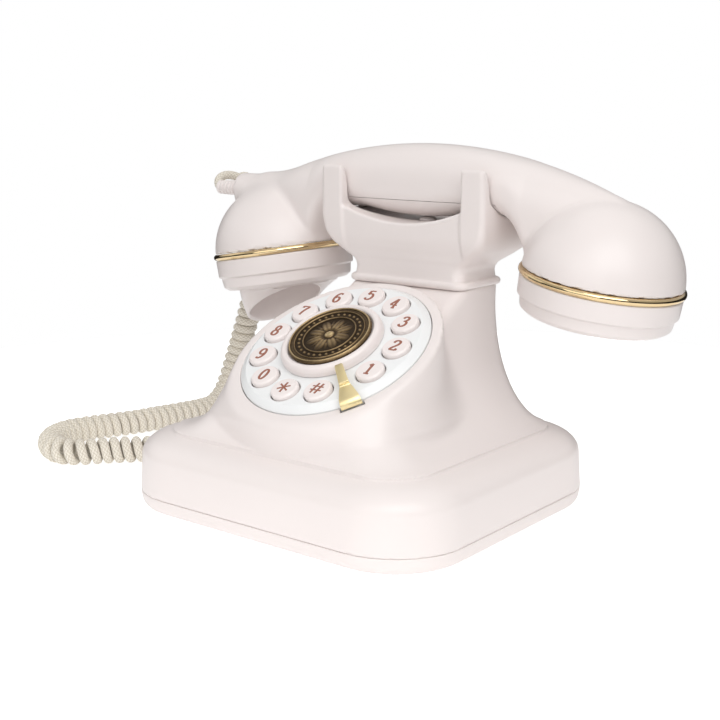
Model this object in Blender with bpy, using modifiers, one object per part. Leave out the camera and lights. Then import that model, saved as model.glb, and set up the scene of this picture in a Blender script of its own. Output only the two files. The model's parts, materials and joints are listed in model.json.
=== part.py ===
"""Retro desk telephone: square plinth, tilted push-button dial, cradle, curly-cord handset.

Lengths below are millimetres and are scaled to metres when a mesh is made. The plinth's
middle is x = 0, y = 0 while the parts are built, and the phone faces -Y. The last step
moves every part so that the origin is the middle of the phone's own box, on the table.
"""
import math

import bmesh
import bpy
from mathutils import Matrix, Vector

MM = 0.001
GAP = 0.3

# Plinth and flared body
BASE_WIDTH = 160.0
BASE_DEPTH = 144.5
BASE_RADIUS = 32.0
BASE_BOTTOM = 0.8
SEAM = 7.9
SHOULDER_START = 23.0
SHOULDER_HEIGHT = 9.5
SHOULDER_INSET = 15.0
CREASE = 32.6
CREASE_HALF = (65.5, 59.0)
CREASE_RADIUS = 20.0
LIP_TOP = 34.0
NECK_TOP = 90.2
NECK_HALF = 30.5
NECK_REAR = 61.5
NECK_RADIUS = 6.0
FLARE_POWER = 0.58
FRONT_INSET = 14.0
WALL = 2.5

# Dial
DIAL_CENTRE = (0.0, -17.6, 69.8)
DIAL_TILT = math.radians(29.54)
RIM_RADIUS = 46.7
RIM_EDGE = 1.5
RECESS_RADIUS = 41.6
PLATE_RADIUS = 41.3
PLATE_TOP = 2.4
PLATE_LOW = -3.0
WELL_RADIUS = 39.3
WELL_DEPTH = 14.0
KEY_PITCH_RADIUS = 31.06
KEY_FIRST = math.radians(-24.53)
KEY_STEP = math.radians(28.99)
KEY_RADIUS = 5.9
KEY_TOP = 4.2
STOP_ANGLE = math.radians(-45.1)
KEY_NAMES = ("1", "2", "3", "4", "5", "6", "7", "8", "9", "0", "star", "hash")

# Cradle
HEAD_BOTTOM = 90.5
HEAD_TOP = 142.0
HANDSET_Y = 48.0
HORN_HALF_X = 43.5
HORN_HALF_Y = 22.5
HORN_INNER_X = 31.8
SADDLE = 118.0
PLUNGER_RADIUS = 4.0
PLUNGER_TOP = 120.2

# Handset
RING_X = 86.5
RING_Z = 98.5
RING_RADIUS = 34.1
CUP_TILT = math.radians(9.5)
DOME_RADIUS = 33.5
DOME_HEIGHT = 33.0
DOME_POWER = 2.1
HANDLE_TOP = 151.5
HANDLE_BOTTOM = 120.5
HANDLE_HALF = 17.0
PARTING = 127.5
STRIP_HALF = 44.0
BOSS_END = -115.0
BOSS_CENTRE = (50.0, 127.0)
BOSS_RADIUS = 7.6

# Curly cord
WIRE = 4.8
COIL = 12.8
LEAD_ROUTE = ((-119.3, 50.0, 127.0), (-122.0, 50.2, 127.1), (-126.5, 51.2, 127.9),
              (-131.0, 54.0, 128.8), (-134.6, 58.6, 128.4))
HANG_ROUTE = ((-136, 62.0, 126.5), (-137.2, 69, 122), (-135.5, 75.5, 113), (-132.8, 79, 102),
              (-131.8, 79.5, 88), (-134.0, 78, 72), (-139, 76.5, 54), (-144.5, 75.5, 38),
              (-149.0, 74, 24), (-151, 70.5, 13.6), (-150.9, 64, 8.3), (-151, 58, 6.7),
              (-151.2, 53, 6.5))
TABLE_ROUTE = ((-151.3, 52.2, 6.5), (-151.8, 47.5, 6.5), (-153.6, 39, 6.5), (-156.4, 27, 6.5),
               (-159.1, 15, 6.5), (-162.5, 5, 6.5), (-166.7, -5, 6.5), (-170, -15, 6.5),
               (-170.5, -24.5, 6.5), (-167.2, -33.6, 6.5), (-160.9, -40.4, 6.5),
               (-152.5, -45, 6.5), (-145.2, -46, 6.5), (-139, -43.3, 6.5),
               (-134.1, -38.4, 6.5), (-129.9, -32.8, 6.5), (-124.9, -27.2, 6.5),
               (-117.6, -19.8, 6.5), (-111, -12.5, 6.5))
TAIL_ROUTE = ((-110.4, -11.8, 6.6), (-108, -8.4, 6.9), (-105.5, -4.2, 8.4), (-103, 0, 11),
              (-100, 3.8, 13.6), (-96.8, 5.8, 14.9), (-93.4, 6, 15))
JACK_Y = 6.0
JACK_Z = 15.0

CREAM = (0.86, 0.80, 0.78)
BLUE_WHITE = (0.84, 0.87, 0.90)
GOLD = (0.83, 0.62, 0.28)
BRONZE = (0.25, 0.17, 0.08)
BRAID = (0.55, 0.50, 0.40)


def mm(*values):
    return Vector(values) * MM


def reset_scene():
    for obj in list(bpy.data.objects):
        bpy.data.objects.remove(obj, do_unlink=True)


def new_collection(name):
    group = bpy.data.collections.new(name)
    bpy.context.scene.collection.children.link(group)
    return group


def principled(name, colour, roughness, metallic=0.0):
    material = bpy.data.materials.new(name)
    material.use_nodes = True
    shader = material.node_tree.nodes["Principled BSDF"]
    shader.inputs["Base Color"].default_value = (*colour, 1.0)
    shader.inputs["Roughness"].default_value = roughness
    shader.inputs["Metallic"].default_value = metallic
    return material


reset_scene()
PARTS = new_collection("retro_desk_phone")
CUTTERS = new_collection("cutters")
SHELL = principled("shell_plastic", CREAM, 0.35)
PLATE = principled("plate_plastic", BLUE_WHITE, 0.35)
GOLDEN = principled("gold_plate", GOLD, 0.2, 1.0)
ANTIQUE = principled("antique_bronze", BRONZE, 0.45, 1.0)
CORD = principled("cord_braid", BRAID, 0.9)
RUBBER = principled("dark_rubber", (0.05, 0.05, 0.05), 0.8)
STEEL = principled("steel", (0.6, 0.6, 0.6), 0.35, 1.0)
BOARD = principled("circuit_board", (0.05, 0.22, 0.10), 0.5)
BLACK = principled("black_plastic", (0.03, 0.03, 0.03), 0.5)
CLEAR = principled("clear_plastic", (0.75, 0.78, 0.78), 0.2)


def add_object(name, mesh, material, parent=None):
    """Link a mesh as a part, or as a cutter when it has no material."""
    obj = bpy.data.objects.new(name, mesh)
    if material is None:
        CUTTERS.objects.link(obj)
        obj.hide_render = True
        obj.display_type = "WIRE"
    else:
        PARTS.objects.link(obj)
        mesh.materials.append(material)
    obj.parent = parent
    return obj


def finish_mesh(name, bm, material, parent=None, sharp=35.0):
    bmesh.ops.recalc_face_normals(bm, faces=bm.faces)
    mesh = bpy.data.meshes.new(name)
    bm.to_mesh(mesh)
    bm.free()
    mesh.shade_smooth()
    mesh.set_sharp_from_angle(angle=math.radians(sharp))
    return add_object(name, mesh, material, parent)


def loft(name, rings, material=None, parent=None):
    """Close a skin over rings of equal point counts, with a flat cap on each end."""
    bm = bmesh.new()
    rows = [[bm.verts.new(mm(*point)) for point in ring] for ring in rings]
    count = len(rows[0])
    for low, high in zip(rows, rows[1:]):
        for k in range(count):
            after = (k + 1) % count
            bm.faces.new((low[k], low[after], high[after], high[k]))
    bm.faces.new(rows[0])
    bm.faces.new(rows[-1])
    return finish_mesh(name, bm, material, parent)


def drum(name, radius, low, high, material=None, parent=None, centre=(0.0, 0.0), steps=32):
    """A cylinder along Z between two heights, turned by half a step about its axis."""
    bm = bmesh.new()
    place = Matrix.Translation(mm(centre[0], centre[1], (low + high) / 2))
    place = place @ Matrix.Rotation(math.pi / steps, 4, "Z")
    bmesh.ops.create_cone(bm, cap_ends=True, segments=steps, radius1=radius * MM,
                          radius2=radius * MM, depth=(high - low) * MM, matrix=place)
    return finish_mesh(name, bm, material, parent)


def block(name, low, high, material=None, parent=None, bevel=0.0):
    """A box between two corners, with its edges rounded by bevel."""
    bm = bmesh.new()
    bmesh.ops.create_cube(bm, size=1.0)
    size = [b - a for a, b in zip(low, high)]
    middle = [(a + b) / 2 for a, b in zip(low, high)]
    bmesh.ops.scale(bm, vec=mm(*size), verts=bm.verts)
    bmesh.ops.translate(bm, vec=mm(*middle), verts=bm.verts)
    obj = finish_mesh(name, bm, material, parent)
    if bevel:
        rounding = obj.modifiers.new("round_edges", "BEVEL")
        rounding.width = bevel * MM
        rounding.segments = 1
        rounding.limit_method = "ANGLE"
    return obj


def turned(name, profile, material=None, parent=None, steps=32, closed=False):
    """Turn a (radius, height) profile about Z; it runs down its outer side."""
    mesh = bpy.data.meshes.new(name)
    points = [mm(radius, 0.0, height) for radius, height in profile]
    edges = [(k, k + 1) for k in range(len(points) - 1)]
    if closed:
        edges.append((len(points) - 1, 0))
    mesh.from_pydata(points, edges, [])
    obj = add_object(name, mesh, material, parent)
    screw = obj.modifiers.new("turn", "SCREW")
    screw.axis = "Z"
    screw.steps = steps
    screw.render_steps = steps
    screw.use_merge_vertices = True
    screw.merge_threshold = 0.00001
    screw.use_smooth_shade = True
    return obj


def combine(target, other, operation):
    step = target.modifiers.new(operation.lower(), "BOOLEAN")
    step.object = other
    step.operation = operation
    step.solver = "EXACT"


def cut(target, *cutters):
    for cutter in cutters:
        combine(target, cutter, "DIFFERENCE")


def join(target, *pieces):
    for piece in pieces:
        combine(target, piece, "UNION")


def empty(name, location, rotation=(0.0, 0.0, 0.0), parent=None):
    obj = bpy.data.objects.new(name, None)
    PARTS.objects.link(obj)
    obj.location = mm(*location)
    obj.rotation_euler = rotation
    obj.parent = parent
    return obj


def rounded_rectangle(half_x, front, rear, radius, height, corner_steps=4):
    """Points of a rounded rectangle at one height, counter-clockwise from the right rear."""
    centres = ((1, rear - radius, 0), (-1, rear - radius, 90),
               (-1, front + radius, 180), (1, front + radius, 270))
    points = []
    for side, y, start in centres:
        for k in range(corner_steps + 1):
            angle = math.radians(start + 90 * k / corner_steps)
            points.append((side * (half_x - radius) + radius * math.cos(angle),
                           y + radius * math.sin(angle), height))
    return points


def plinth_ring(inset, height):
    return rounded_rectangle(BASE_WIDTH / 2 - inset, inset - BASE_DEPTH / 2,
                             BASE_DEPTH / 2 - inset, BASE_RADIUS - inset, height)


def flare_share(height):
    """1 at the plinth, 0 at the neck: how far the body has spread."""
    rise = (height - LIP_TOP) / (NECK_TOP - LIP_TOP)
    return (1 - rise ** FLARE_POWER) ** (1 / FLARE_POWER)


def front_under_dial(height):
    """The body's front face, a constant depth behind the tilted dial."""
    depth = 6.0
    slope = math.cos(DIAL_TILT) / math.sin(DIAL_TILT)
    return DIAL_CENTRE[1] + slope * (height - DIAL_CENTRE[2]) + depth / math.sin(DIAL_TILT)


def flare_ring(height, wall=0.0):
    share = flare_share(max(height, LIP_TOP))
    half_x = NECK_HALF + (CREASE_HALF[0] - NECK_HALF) * share
    front = max(-CREASE_HALF[1] + FRONT_INSET * (1 - share), front_under_dial(height))
    rear = NECK_REAR - (NECK_REAR - CREASE_HALF[1]) * share
    radius = NECK_RADIUS + (CREASE_RADIUS - NECK_RADIUS) * math.sqrt(share)
    return rounded_rectangle(half_x - wall, front + wall, rear - wall, radius - wall, height)


def body_rings(wall, bottom, top):
    """Plinth, shoulder, crease and flare as one stack of rings, wall thick inwards."""
    rings = [plinth_ring(wall, bottom), plinth_ring(1 + wall, SHOULDER_START - wall)]
    for degrees in (25, 48, 68):
        turn = math.radians(degrees)
        rings.append(plinth_ring(1 + wall + SHOULDER_INSET * (1 - math.cos(turn)),
                                 SHOULDER_START - wall + SHOULDER_HEIGHT * math.sin(turn)))
    rings.append(flare_ring(CREASE - wall, wall))
    for height in (34.0, 35.5, 38, 42, 48, 56, 66, 78):
        rings.append(flare_ring(height - wall * (height < 50), wall))
    rings.append(flare_ring(top, wall))
    return rings


def dial_boss():
    """The dial's round seat: the tilted rim dropped straight down into the flare."""
    steps = 36
    rings = [[], [], []]
    for k in range(steps):
        angle = 2 * math.pi * k / steps
        for ring, radius, depth in ((rings[0], RIM_RADIUS - RIM_EDGE, 0.0),
                                    (rings[1], RIM_RADIUS, RIM_EDGE)):
            across = radius * math.cos(angle)
            along = radius * math.sin(angle)
            ring.append((across,
                         DIAL_CENTRE[1] + along * math.cos(DIAL_TILT) + depth * math.sin(DIAL_TILT),
                         DIAL_CENTRE[2] + along * math.sin(DIAL_TILT) - depth * math.cos(DIAL_TILT)))
        x, y, _ = rings[1][-1]
        rings[2].append((x, y, LIP_TOP + 0.5))
    return loft("dial_boss_form", rings)


POSTS = [(x, y) for x in (-56.0, 56.0) for y in (-46.0, 46.0)]
FEET = {"foot_front_left": (-66.0, -38.0), "foot_front_right": (66.0, -38.0),
        "foot_rear_left": (-66.0, 38.0), "foot_rear_right": (66.0, 38.0)}
SCREWS = ("case_screw_front_left", "case_screw_rear_left", "case_screw_front_right",
          "case_screw_rear_right")
LINE_JACK_X = 37.0
SWITCH_X = -30.0
PANEL_LOW = (-42.0, BASE_DEPTH / 2 - 3.4, 10.0)
PANEL_HIGH = (50.0, BASE_DEPTH / 2 - 1.2, 23.0)


def make_housing(dial):
    housing = loft("housing", body_rings(0.0, SEAM + 0.1, NECK_TOP), SHELL)
    join(housing, dial_boss())
    cut(housing, loft("body_hollow", body_rings(WALL, SEAM - 2, NECK_TOP - WALL)))
    cut(housing, drum("plate_recess", RECESS_RADIUS, PLATE_LOW - GAP, 8, parent=dial, steps=40),
        drum("key_well", WELL_RADIUS, -WELL_DEPTH, 0, parent=dial, steps=36),
        drum("neck_hole", 8, NECK_TOP - 5, NECK_TOP + 5, centre=(0, HANDSET_Y)))
    for k, centre in enumerate(POSTS):
        join(housing, drum("post_form_%d" % k, 4.5, SEAM + 0.1, 33.8, centre=centre, steps=16))
        cut(housing, drum("post_hole_%d" % k, 1.6, 2, 20, centre=centre, steps=12))
    rear = BASE_DEPTH / 2
    cut(housing, block("panel_window", (PANEL_LOW[0] - GAP, rear - 9, PANEL_LOW[2] - GAP),
                       (PANEL_HIGH[0] + GAP, rear + 5, PANEL_HIGH[2] + GAP)),
        block("handset_jack_window", (-BASE_WIDTH / 2 - 5, JACK_Y - 7.3, 9.4),
              (-BASE_WIDTH / 2 + 9, JACK_Y + 7.3, 20.6)))


def make_rear_panel():
    """The plate in the rear wall that the line jack and the ringer switch look out through."""
    rear = BASE_DEPTH / 2
    panel = block("rear_panel", PANEL_LOW, PANEL_HIGH, SHELL)
    cut(panel, block("line_window", (LINE_JACK_X - 5.3, rear - 9, 12.9), (LINE_JACK_X + 5.3, rear + 5, 20.1)),
        block("switch_slot", (SWITCH_X - 8, rear - 9, 14.5), (SWITCH_X + 8, rear + 5, 18.5)))


def make_bottom_cover():
    top = SEAM - 0.2
    cover = loft("bottom_cover", [plinth_ring(3.6, BASE_BOTTOM), plinth_ring(1.6, 1.9),
                                  plinth_ring(0.5, 3.8), plinth_ring(0.0, top)], SHELL)
    cut(cover, loft("cover_hollow", [plinth_ring(4.0, 3.8), plinth_ring(3.0, top + 2)]))
    for k, centre in enumerate(POSTS):
        join(cover, drum("cover_post_%d" % k, 5, 3, top, centre=centre, steps=16))
        cut(cover, drum("cover_hole_%d" % k, 1.6, -1, top + 2, centre=centre, steps=12),
            drum("screw_seat_%d" % k, 3.4, -1, 3.4, centre=centre, steps=16))
    for k, (x, y) in enumerate(((-46, -38), (46, -38), (-46, 38), (46, 38))):
        join(cover, drum("standoff_%d" % k, 3, 3, 11.7, centre=(x, y), steps=12))
    for name, centre in FEET.items():
        cut(cover, drum(name + "_pocket", 6.3, -1, 2.8, centre=centre, steps=20))
        drum(name, 6.0, 0.0, 2.5, RUBBER, centre=centre, steps=20)


def make_screw(name, centre, bottom, head_radius, length, shank_radius):
    """A pan-head screw standing upright with its head lowest."""
    profile = ((0, length), (shank_radius, length), (shank_radius, 1.7), (head_radius, 1.7),
               (head_radius, 0.4), (head_radius - 0.5, 0), (0, 0))
    screw = turned(name, profile, STEEL, steps=12)
    screw.location = mm(centre[0], centre[1], bottom)
    return screw


def make_inside():
    for name, centre in zip(SCREWS, POSTS):
        make_screw(name, centre, 1.4, 3.0, 16.0, 1.2)
    block("ballast_plate", (-40, -42, 4.1), (40, 6, 9.1), STEEL, bevel=0.6)
    block("main_board", (-50, -42, 12), (50, 42, 13.6), BOARD)
    turned("ringer_speaker", ((0, 10.5), (9, 10.5), (9, 7.5), (18, 5.8), (18, 4.1), (0, 4.1)),
           BLACK, steps=24).location = mm(0, 28, 0)


def make_jacks():
    rear = BASE_DEPTH / 2
    line = block("line_jack", (LINE_JACK_X - 7, rear - 13, 11.3),
                 (LINE_JACK_X + 7, rear - 3.7, 21.7), BLACK)
    cut(line, block("line_socket", (LINE_JACK_X - 5, rear - 11, 13.2),
                    (LINE_JACK_X + 5, rear + 3, 19.8)))
    side = -BASE_WIDTH / 2
    jack = block("handset_jack", (side + 0.7, JACK_Y - 7, 9.7), (side + 14, JACK_Y + 7, 20.3), BLACK)
    cut(jack, block("handset_socket", (side - 3, JACK_Y - 5.4, JACK_Z - 3.6),
                    (side + 12, JACK_Y + 5.4, JACK_Z + 3.6)))
    block("cord_plug", (side - 12.8, JACK_Y - 4.8, JACK_Z - 3), (side + 10.5, JACK_Y + 4.8, JACK_Z + 3),
          CLEAR, bevel=0.6)
    knob_end = SWITCH_X - 2.6
    block("ringer_switch", (knob_end - 5, rear - 6, 14.9), (knob_end, rear + 1.6, 18.1), BLACK, bevel=0.5)


def make_dial(dial):
    plate = turned("dial_plate", ((0, PLATE_TOP), (38.3, PLATE_TOP), (PLATE_RADIUS, 0),
                                  (PLATE_RADIUS, PLATE_LOW), (0, PLATE_LOW)), PLATE, dial, steps=40)
    turned("keypad_membrane", ((0, -7.5), (38.5, -7.5), (38.5, -8.9), (0, -8.9)), RUBBER, dial)
    turned("keypad_board", ((0, -9.2), (38.5, -9.2), (38.5, -10.8), (0, -10.8)), BOARD, dial)
    key_profile = ((0, KEY_TOP + 0.1), (KEY_RADIUS - 1.4, KEY_TOP - 0.1), (KEY_RADIUS, KEY_TOP - 1.2),
                   (KEY_RADIUS, -4.0), (6.9, -4.0), (6.9, -5.2), (0, -5.2))
    for k, name in enumerate(KEY_NAMES):
        angle = KEY_FIRST + k * KEY_STEP
        x = KEY_PITCH_RADIUS * math.cos(angle)
        y = KEY_PITCH_RADIUS * math.sin(angle)
        cut(plate, drum("key_hole_" + name, KEY_RADIUS + 0.4, -6, 4, parent=dial, centre=(x, y), steps=14))
        key = turned("key_" + name, key_profile, PLATE, dial, steps=14)
        key.location = mm(x, y, 0)
    turned("dial_hub", ((0, 5.2), (17.2, 5.2), (19.6, 6.8), (21.6, 5.8), (22.2, 2.7), (0, 2.7)),
           SHELL, dial, steps=30)
    turned("medallion", ((0, 7.4), (14.5, 7.4), (16.2, 7.9), (17.6, 7.6), (18.1, 6.6), (16.6, 5.5),
                         (0, 5.5)), ANTIQUE, dial, steps=30)


def make_finger_stop(dial):
    """A gold strip from the hub's edge out over the plate's rim, where it turns down."""
    direction = Vector((math.cos(STOP_ANGLE), math.sin(STOP_ANGLE)))
    across = Vector((-direction.y, direction.x))
    stations = ((22.7, 6.3, 1.3), (23.7, 6.4, 1.7), (33.6, 5.7, 2.1), (34.9, 4.6, 2.3),
                (41.6, 3.2, 4.1), (43.4, 1.9, 4.3), (43.9, 0.4, 4.3))
    rings = []
    for radius, height, half in stations:
        last = radius == stations[-1][0]
        ring = []
        for side, lift in ((-half, 0.0), (half, 0.0), (half, 0.8), (-half, 0.8)):
            reach = radius + (lift if last else 0.0)
            point = direction * reach + across * side
            ring.append((point.x, point.y, height + (0.0 if last else lift)))
        rings.append(ring)
    loft("finger_stop", rings, GOLDEN, dial)


def head_ring(height, half_x, half_y, middle_y, radius=NECK_RADIUS):
    return rounded_rectangle(half_x, middle_y - half_y, middle_y + half_y, radius, height, 3)


def make_cradle():
    neck_y = 46.5
    rings = [head_ring(HEAD_BOTTOM, 30.8, 16.6, neck_y), head_ring(91.4, 31.9, 17.6, neck_y),
             head_ring(92.8, 31.9, 17.6, neck_y), head_ring(93.7, 30.4, 16.2, neck_y),
             head_ring(94.0, 28.8, 15.6, neck_y), head_ring(97.5, 28.3, 15.4, neck_y),
             head_ring(100.2, 29.4, 16.0, 46.8), head_ring(102.4, 32.6, 17.4, 47.1),
             head_ring(104.8, 36.4, 18.9, 47.5), head_ring(108.0, 40.2, 20.6, 47.8),
             head_ring(112.5, 42.6, 22.0, 48.0), head_ring(119.0, HORN_HALF_X, HORN_HALF_Y, 48.0),
             head_ring(HEAD_TOP - 1.5, HORN_HALF_X, HORN_HALF_Y, 48.0),
             head_ring(HEAD_TOP, HORN_HALF_X - 1, HORN_HALF_Y - 1, 48.0, 5.0)]
    head = loft("cradle_head", rings, SHELL)
    high = HEAD_TOP + 4
    dip = [(-HORN_INNER_X - 0.4, high)]
    dip += [(x, SADDLE + 0.0063 * x * x) for x in (-29.5, -22, -14, -5, 5, 14, 22, 29.5)]
    dip += [(HORN_INNER_X + 0.4, high)]
    cut(head, loft("front_dip", [[(x, y, z) for x, z in dip] for y in (10.0, 90.0)]))
    channel = [(-22.6, high)]
    channel += [(y, SADDLE + 7.0 * (y / 16.5) ** 2) for y in (-16.5, -12, -7, 0, 7, 12, 16.5)]
    channel += [(22.6, high)]
    cut(head, loft("handle_channel", [[(x, HANDSET_Y + y, z) for y, z in channel] for x in (-60.0, 60.0)]))
    cut(head, drum("plunger_bore", PLUNGER_RADIUS + 0.4, 100, 124, centre=(0, HANDSET_Y), steps=20),
        drum("spring_chamber", 8, HEAD_BOTTOM - 4, 104.8, centre=(0, HANDSET_Y), steps=20))


def make_hook(hook):
    """Hook plunger with its collar, the return spring under it and the switch body."""
    base = PLUNGER_TOP
    radius = PLUNGER_RADIUS
    turned("hook_plunger", ((0, 0), (radius - 1, 0), (radius, -1), (radius, 100 - base - 0.5),
                            (6.5, 101.3 - base), (6.5, 100 - base), (2.2, 99.8 - base),
                            (2.2, 87 - base), (0, 87 - base)), BLACK, hook, steps=16)
    block("hook_switch", (-8, 40, 70), (8, 56, 85), BLACK, bevel=0.8)
    coils = 5
    points = coils * 10
    low = 86.0
    high = 98.9
    curve = bpy.data.curves.new("hook_spring", "CURVE")
    curve.dimensions = "3D"
    curve.bevel_depth = 0.5 * MM
    curve.bevel_resolution = 1
    curve.use_fill_caps = True
    spline = curve.splines.new("POLY")
    spline.points.add(points)
    for k in range(points + 1):
        angle = 2 * math.pi * coils * k / points
        height = low + (high - low) * k / points
        place = mm(4.6 * math.cos(angle), HANDSET_Y + 4.6 * math.sin(angle), height)
        spline.points[k].co = (*place, 1.0)
    add_object("hook_spring", curve, STEEL)


def superellipse_rise(radius, height, power, low):
    """Profile of a dome from its top down to a height above its base plane."""
    points = [(0.0, height)]
    for degrees in (14, 28, 42, 55, 68, 80):
        turn = math.radians(degrees)
        points.append((radius * math.sin(turn) ** (2 / power), height * math.cos(turn) ** (2 / power)))
    points.append((radius, low))
    return points


def handle_ring(x, shrink=0.0):
    """One section of the grip: a soft superellipse between its top and underside."""
    distance = abs(x)
    top = HANDLE_TOP - 16.0 * (x / 84.0) ** 2 - shrink
    if distance < 34:
        bottom = HANDLE_BOTTOM + 0.0045 * x * x
    else:
        bottom = HANDLE_BOTTOM + 5.2 - 15.0 * ((distance - 34) / 16.0) ** 2
    bottom = max(bottom, 106.0) + shrink
    half = HANDLE_HALF - max(distance - 50, 0) ** 2 * 0.007 - shrink
    middle = (top + bottom) / 2
    height = (top - bottom) / 2
    points = []
    steps = 18
    power = 2 / 2.4
    for k in range(steps):
        angle = 2 * math.pi * k / steps
        c = math.cos(angle)
        s = math.sin(angle)
        points.append((x, HANDSET_Y + half * math.copysign(abs(c) ** power, c),
                       middle + height * math.copysign(abs(s) ** power, s)))
    return points


def mirrored_stations(reach):
    """Section places along the grip from -reach to reach, denser where it bends."""
    right = [x for x in (0, 12, 24, 34, 39, 44, 50, 58, 68) if x < reach] + [reach]
    return [-x for x in reversed(right[1:])] + right


def boss_form(name, radius, start, end):
    bm = bmesh.new()
    along = Matrix.Rotation(math.radians(90), 4, "Y")
    place = Matrix.Translation(mm((start + end) / 2, *BOSS_CENTRE))
    bmesh.ops.create_cone(bm, cap_ends=True, segments=20, radius1=radius * MM, radius2=radius * MM,
                          depth=abs(end - start) * MM, matrix=place @ along)
    return finish_mesh(name, bm, None)


def make_handset_shells(lift, left, right):
    steps = 28
    edge = 1.9
    shell = loft("handset_shell", [handle_ring(x) for x in mirrored_stations(80)], SHELL)
    for side, cup in (("mouth", left), ("ear", right)):
        profile = superellipse_rise(DOME_RADIUS, DOME_HEIGHT, DOME_POWER, edge)
        join(shell, turned(side + "_dome_form", profile + [(0, edge)], parent=cup, steps=steps))
    join(shell, boss_form("cord_boss_form", BOSS_RADIUS, -84, BOSS_END))
    for side, cup in (("mouth", left), ("ear", right)):
        profile = superellipse_rise(DOME_RADIUS - WALL, DOME_HEIGHT - WALL, DOME_POWER, -6)
        cut(shell, turned(side + "_dome_hollow", profile + [(0, -6)], parent=cup, steps=20))
    hollow = loft("handle_hollow", [handle_ring(x, 3.0) for x in mirrored_stations(66)])
    cut(shell, hollow, boss_form("cord_hole", 4.0, -80, BOSS_END - 5),
        block("strip_space", (-STRIP_HALF - GAP, 20, 90), (STRIP_HALF + GAP, 80, PARTING)))
    strip = loft("grip_strip", [handle_ring(x) for x in mirrored_stations(STRIP_HALF)], SHELL)
    cut(strip, block("strip_top", (-60, 20, PARTING - GAP), (60, 80, 170)))
    for name, x in (("grip_screw_left", -18.0), ("grip_screw_right", 18.0)):
        centre = (x, HANDSET_Y)
        join(shell, drum(name + "_post", 3.2, PARTING + GAP, 149, centre=centre, steps=12))
        cut(shell, drum(name + "_pilot", 1.4, 120, 138, centre=centre, steps=10))
        cut(strip, drum(name + "_way", 1.4, 110, 140, centre=centre, steps=10),
            drum(name + "_seat", 3.0, 110, 124.6, centre=centre, steps=14))
        make_screw(name, centre, 122.6, 2.6, 12.0, 1.1).parent = lift
    for piece in (shell, strip):
        piece.parent = lift


def cap_profile():
    return [(0, -13.4), (30.4, -13.4), (30.4, -1.9), (33.4, -1.9), (33.0, -9.7), (31.6, -10.2),
            (30.9, -14.6), (28.6, -16.5), (0, -16.5)]


def make_ear_side(cup):
    cap = turned("ear_cap", cap_profile(), SHELL, cup, steps=30)
    for k in range(6):
        angle = math.radians(60 * k)
        cut(cap, drum("ear_hole_%d" % k, 1.5, -20, -10, parent=cup, steps=8,
                      centre=(6 * math.cos(angle), 6 * math.sin(angle))))
    turned("ear_capsule", ((0, -6), (14, -6), (18, -8), (18, -13), (0, -13)), BLACK, cup, steps=24)


def spout_ring(share, radius, depth):
    """Section of the mouth spout: from round under the cap to an inclined oval rim."""
    slope_x = 0.59 * share
    slope_y = -0.176 * share
    middle = (-82.8 - 2.2 * share, HANDSET_Y - 0.5 * share, 82.3 - depth)
    ring = []
    steps = 20
    for k in range(steps):
        angle = 2 * math.pi * k / steps
        x = radius * (1 - 0.1 * share) * math.cos(angle)
        y = radius * (1 - 0.14 * share) * math.sin(angle)
        ring.append((middle[0] + x, middle[1] + y, middle[2] + slope_x * x + slope_y * y))
    return ring


def make_mouth_side(cup):
    cap = turned("mouth_cap", cap_profile(), SHELL, cup, steps=30)
    base = spout_ring(0.0, 22.5, -2.2)
    top = [(x, y, z + 0.19 * (x + 82.8)) for x, y, z in base]
    outer = [top, [(x, y, z + 0.19 * (x + 82.8)) for x, y, z in spout_ring(0.0, 24.0, 1.2)],
             spout_ring(0.75, 23.0, 5.9), spout_ring(1.0, 21.4, 9.2)]
    join(cap, loft("spout_form", outer))
    inner = [[(x, y, z + 0.19 * (x + 82.8)) for x, y, z in spout_ring(0.0, 19.5, -0.6)],
             spout_ring(0.75, 20.6, 5.9), spout_ring(1.0, 19.4, 9.2), spout_ring(1.3, 19.4, 15.0)]
    cut(cap, loft("spout_hollow", inner))
    turned("mouth_capsule", ((0, -8), (12, -8), (12, -13), (0, -13)), BLACK, cup, steps=20)


def make_rings(left, right):
    section = ((31.5, 1.5), (33.7, 1.5), (RING_RADIUS, 0), (33.7, -1.5), (31.5, -1.5))
    turned("mouth_ring", section, GOLDEN, left, steps=36, closed=True)
    turned("ear_ring", section, GOLDEN, right, steps=36, closed=True)


def smooth_route(route, spacing):
    """Points every spacing or so along a smooth curve through the route's points."""
    points = [Vector(point) for point in route]
    ends = [points[0] * 2 - points[1]] + points + [points[-1] * 2 - points[-2]]
    result = []
    for k in range(1, len(ends) - 2):
        a, b, c, d = ends[k - 1:k + 3]
        count = max(1, round((c - b).length / spacing))
        for step in range(count):
            t = step / count
            result.append(0.5 * (2 * b + (c - a) * t + (2 * a - 5 * b + 4 * c - d) * t ** 2
                                 + (3 * b - a - 3 * c + d) * t ** 3))
    return result + [points[-1]]


def tube(name, route, diameter, spacing):
    curve = bpy.data.curves.new(name, "CURVE")
    curve.dimensions = "3D"
    curve.bevel_depth = diameter / 2 * MM
    curve.bevel_resolution = 2
    curve.use_fill_caps = True
    points = smooth_route(route, spacing)
    spline = curve.splines.new("POLY")
    spline.points.add(len(points) - 1)
    for target, point in zip(spline.points, points):
        target.co = (*(point * MM), 1.0)
    return add_object(name, curve, CORD)


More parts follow.
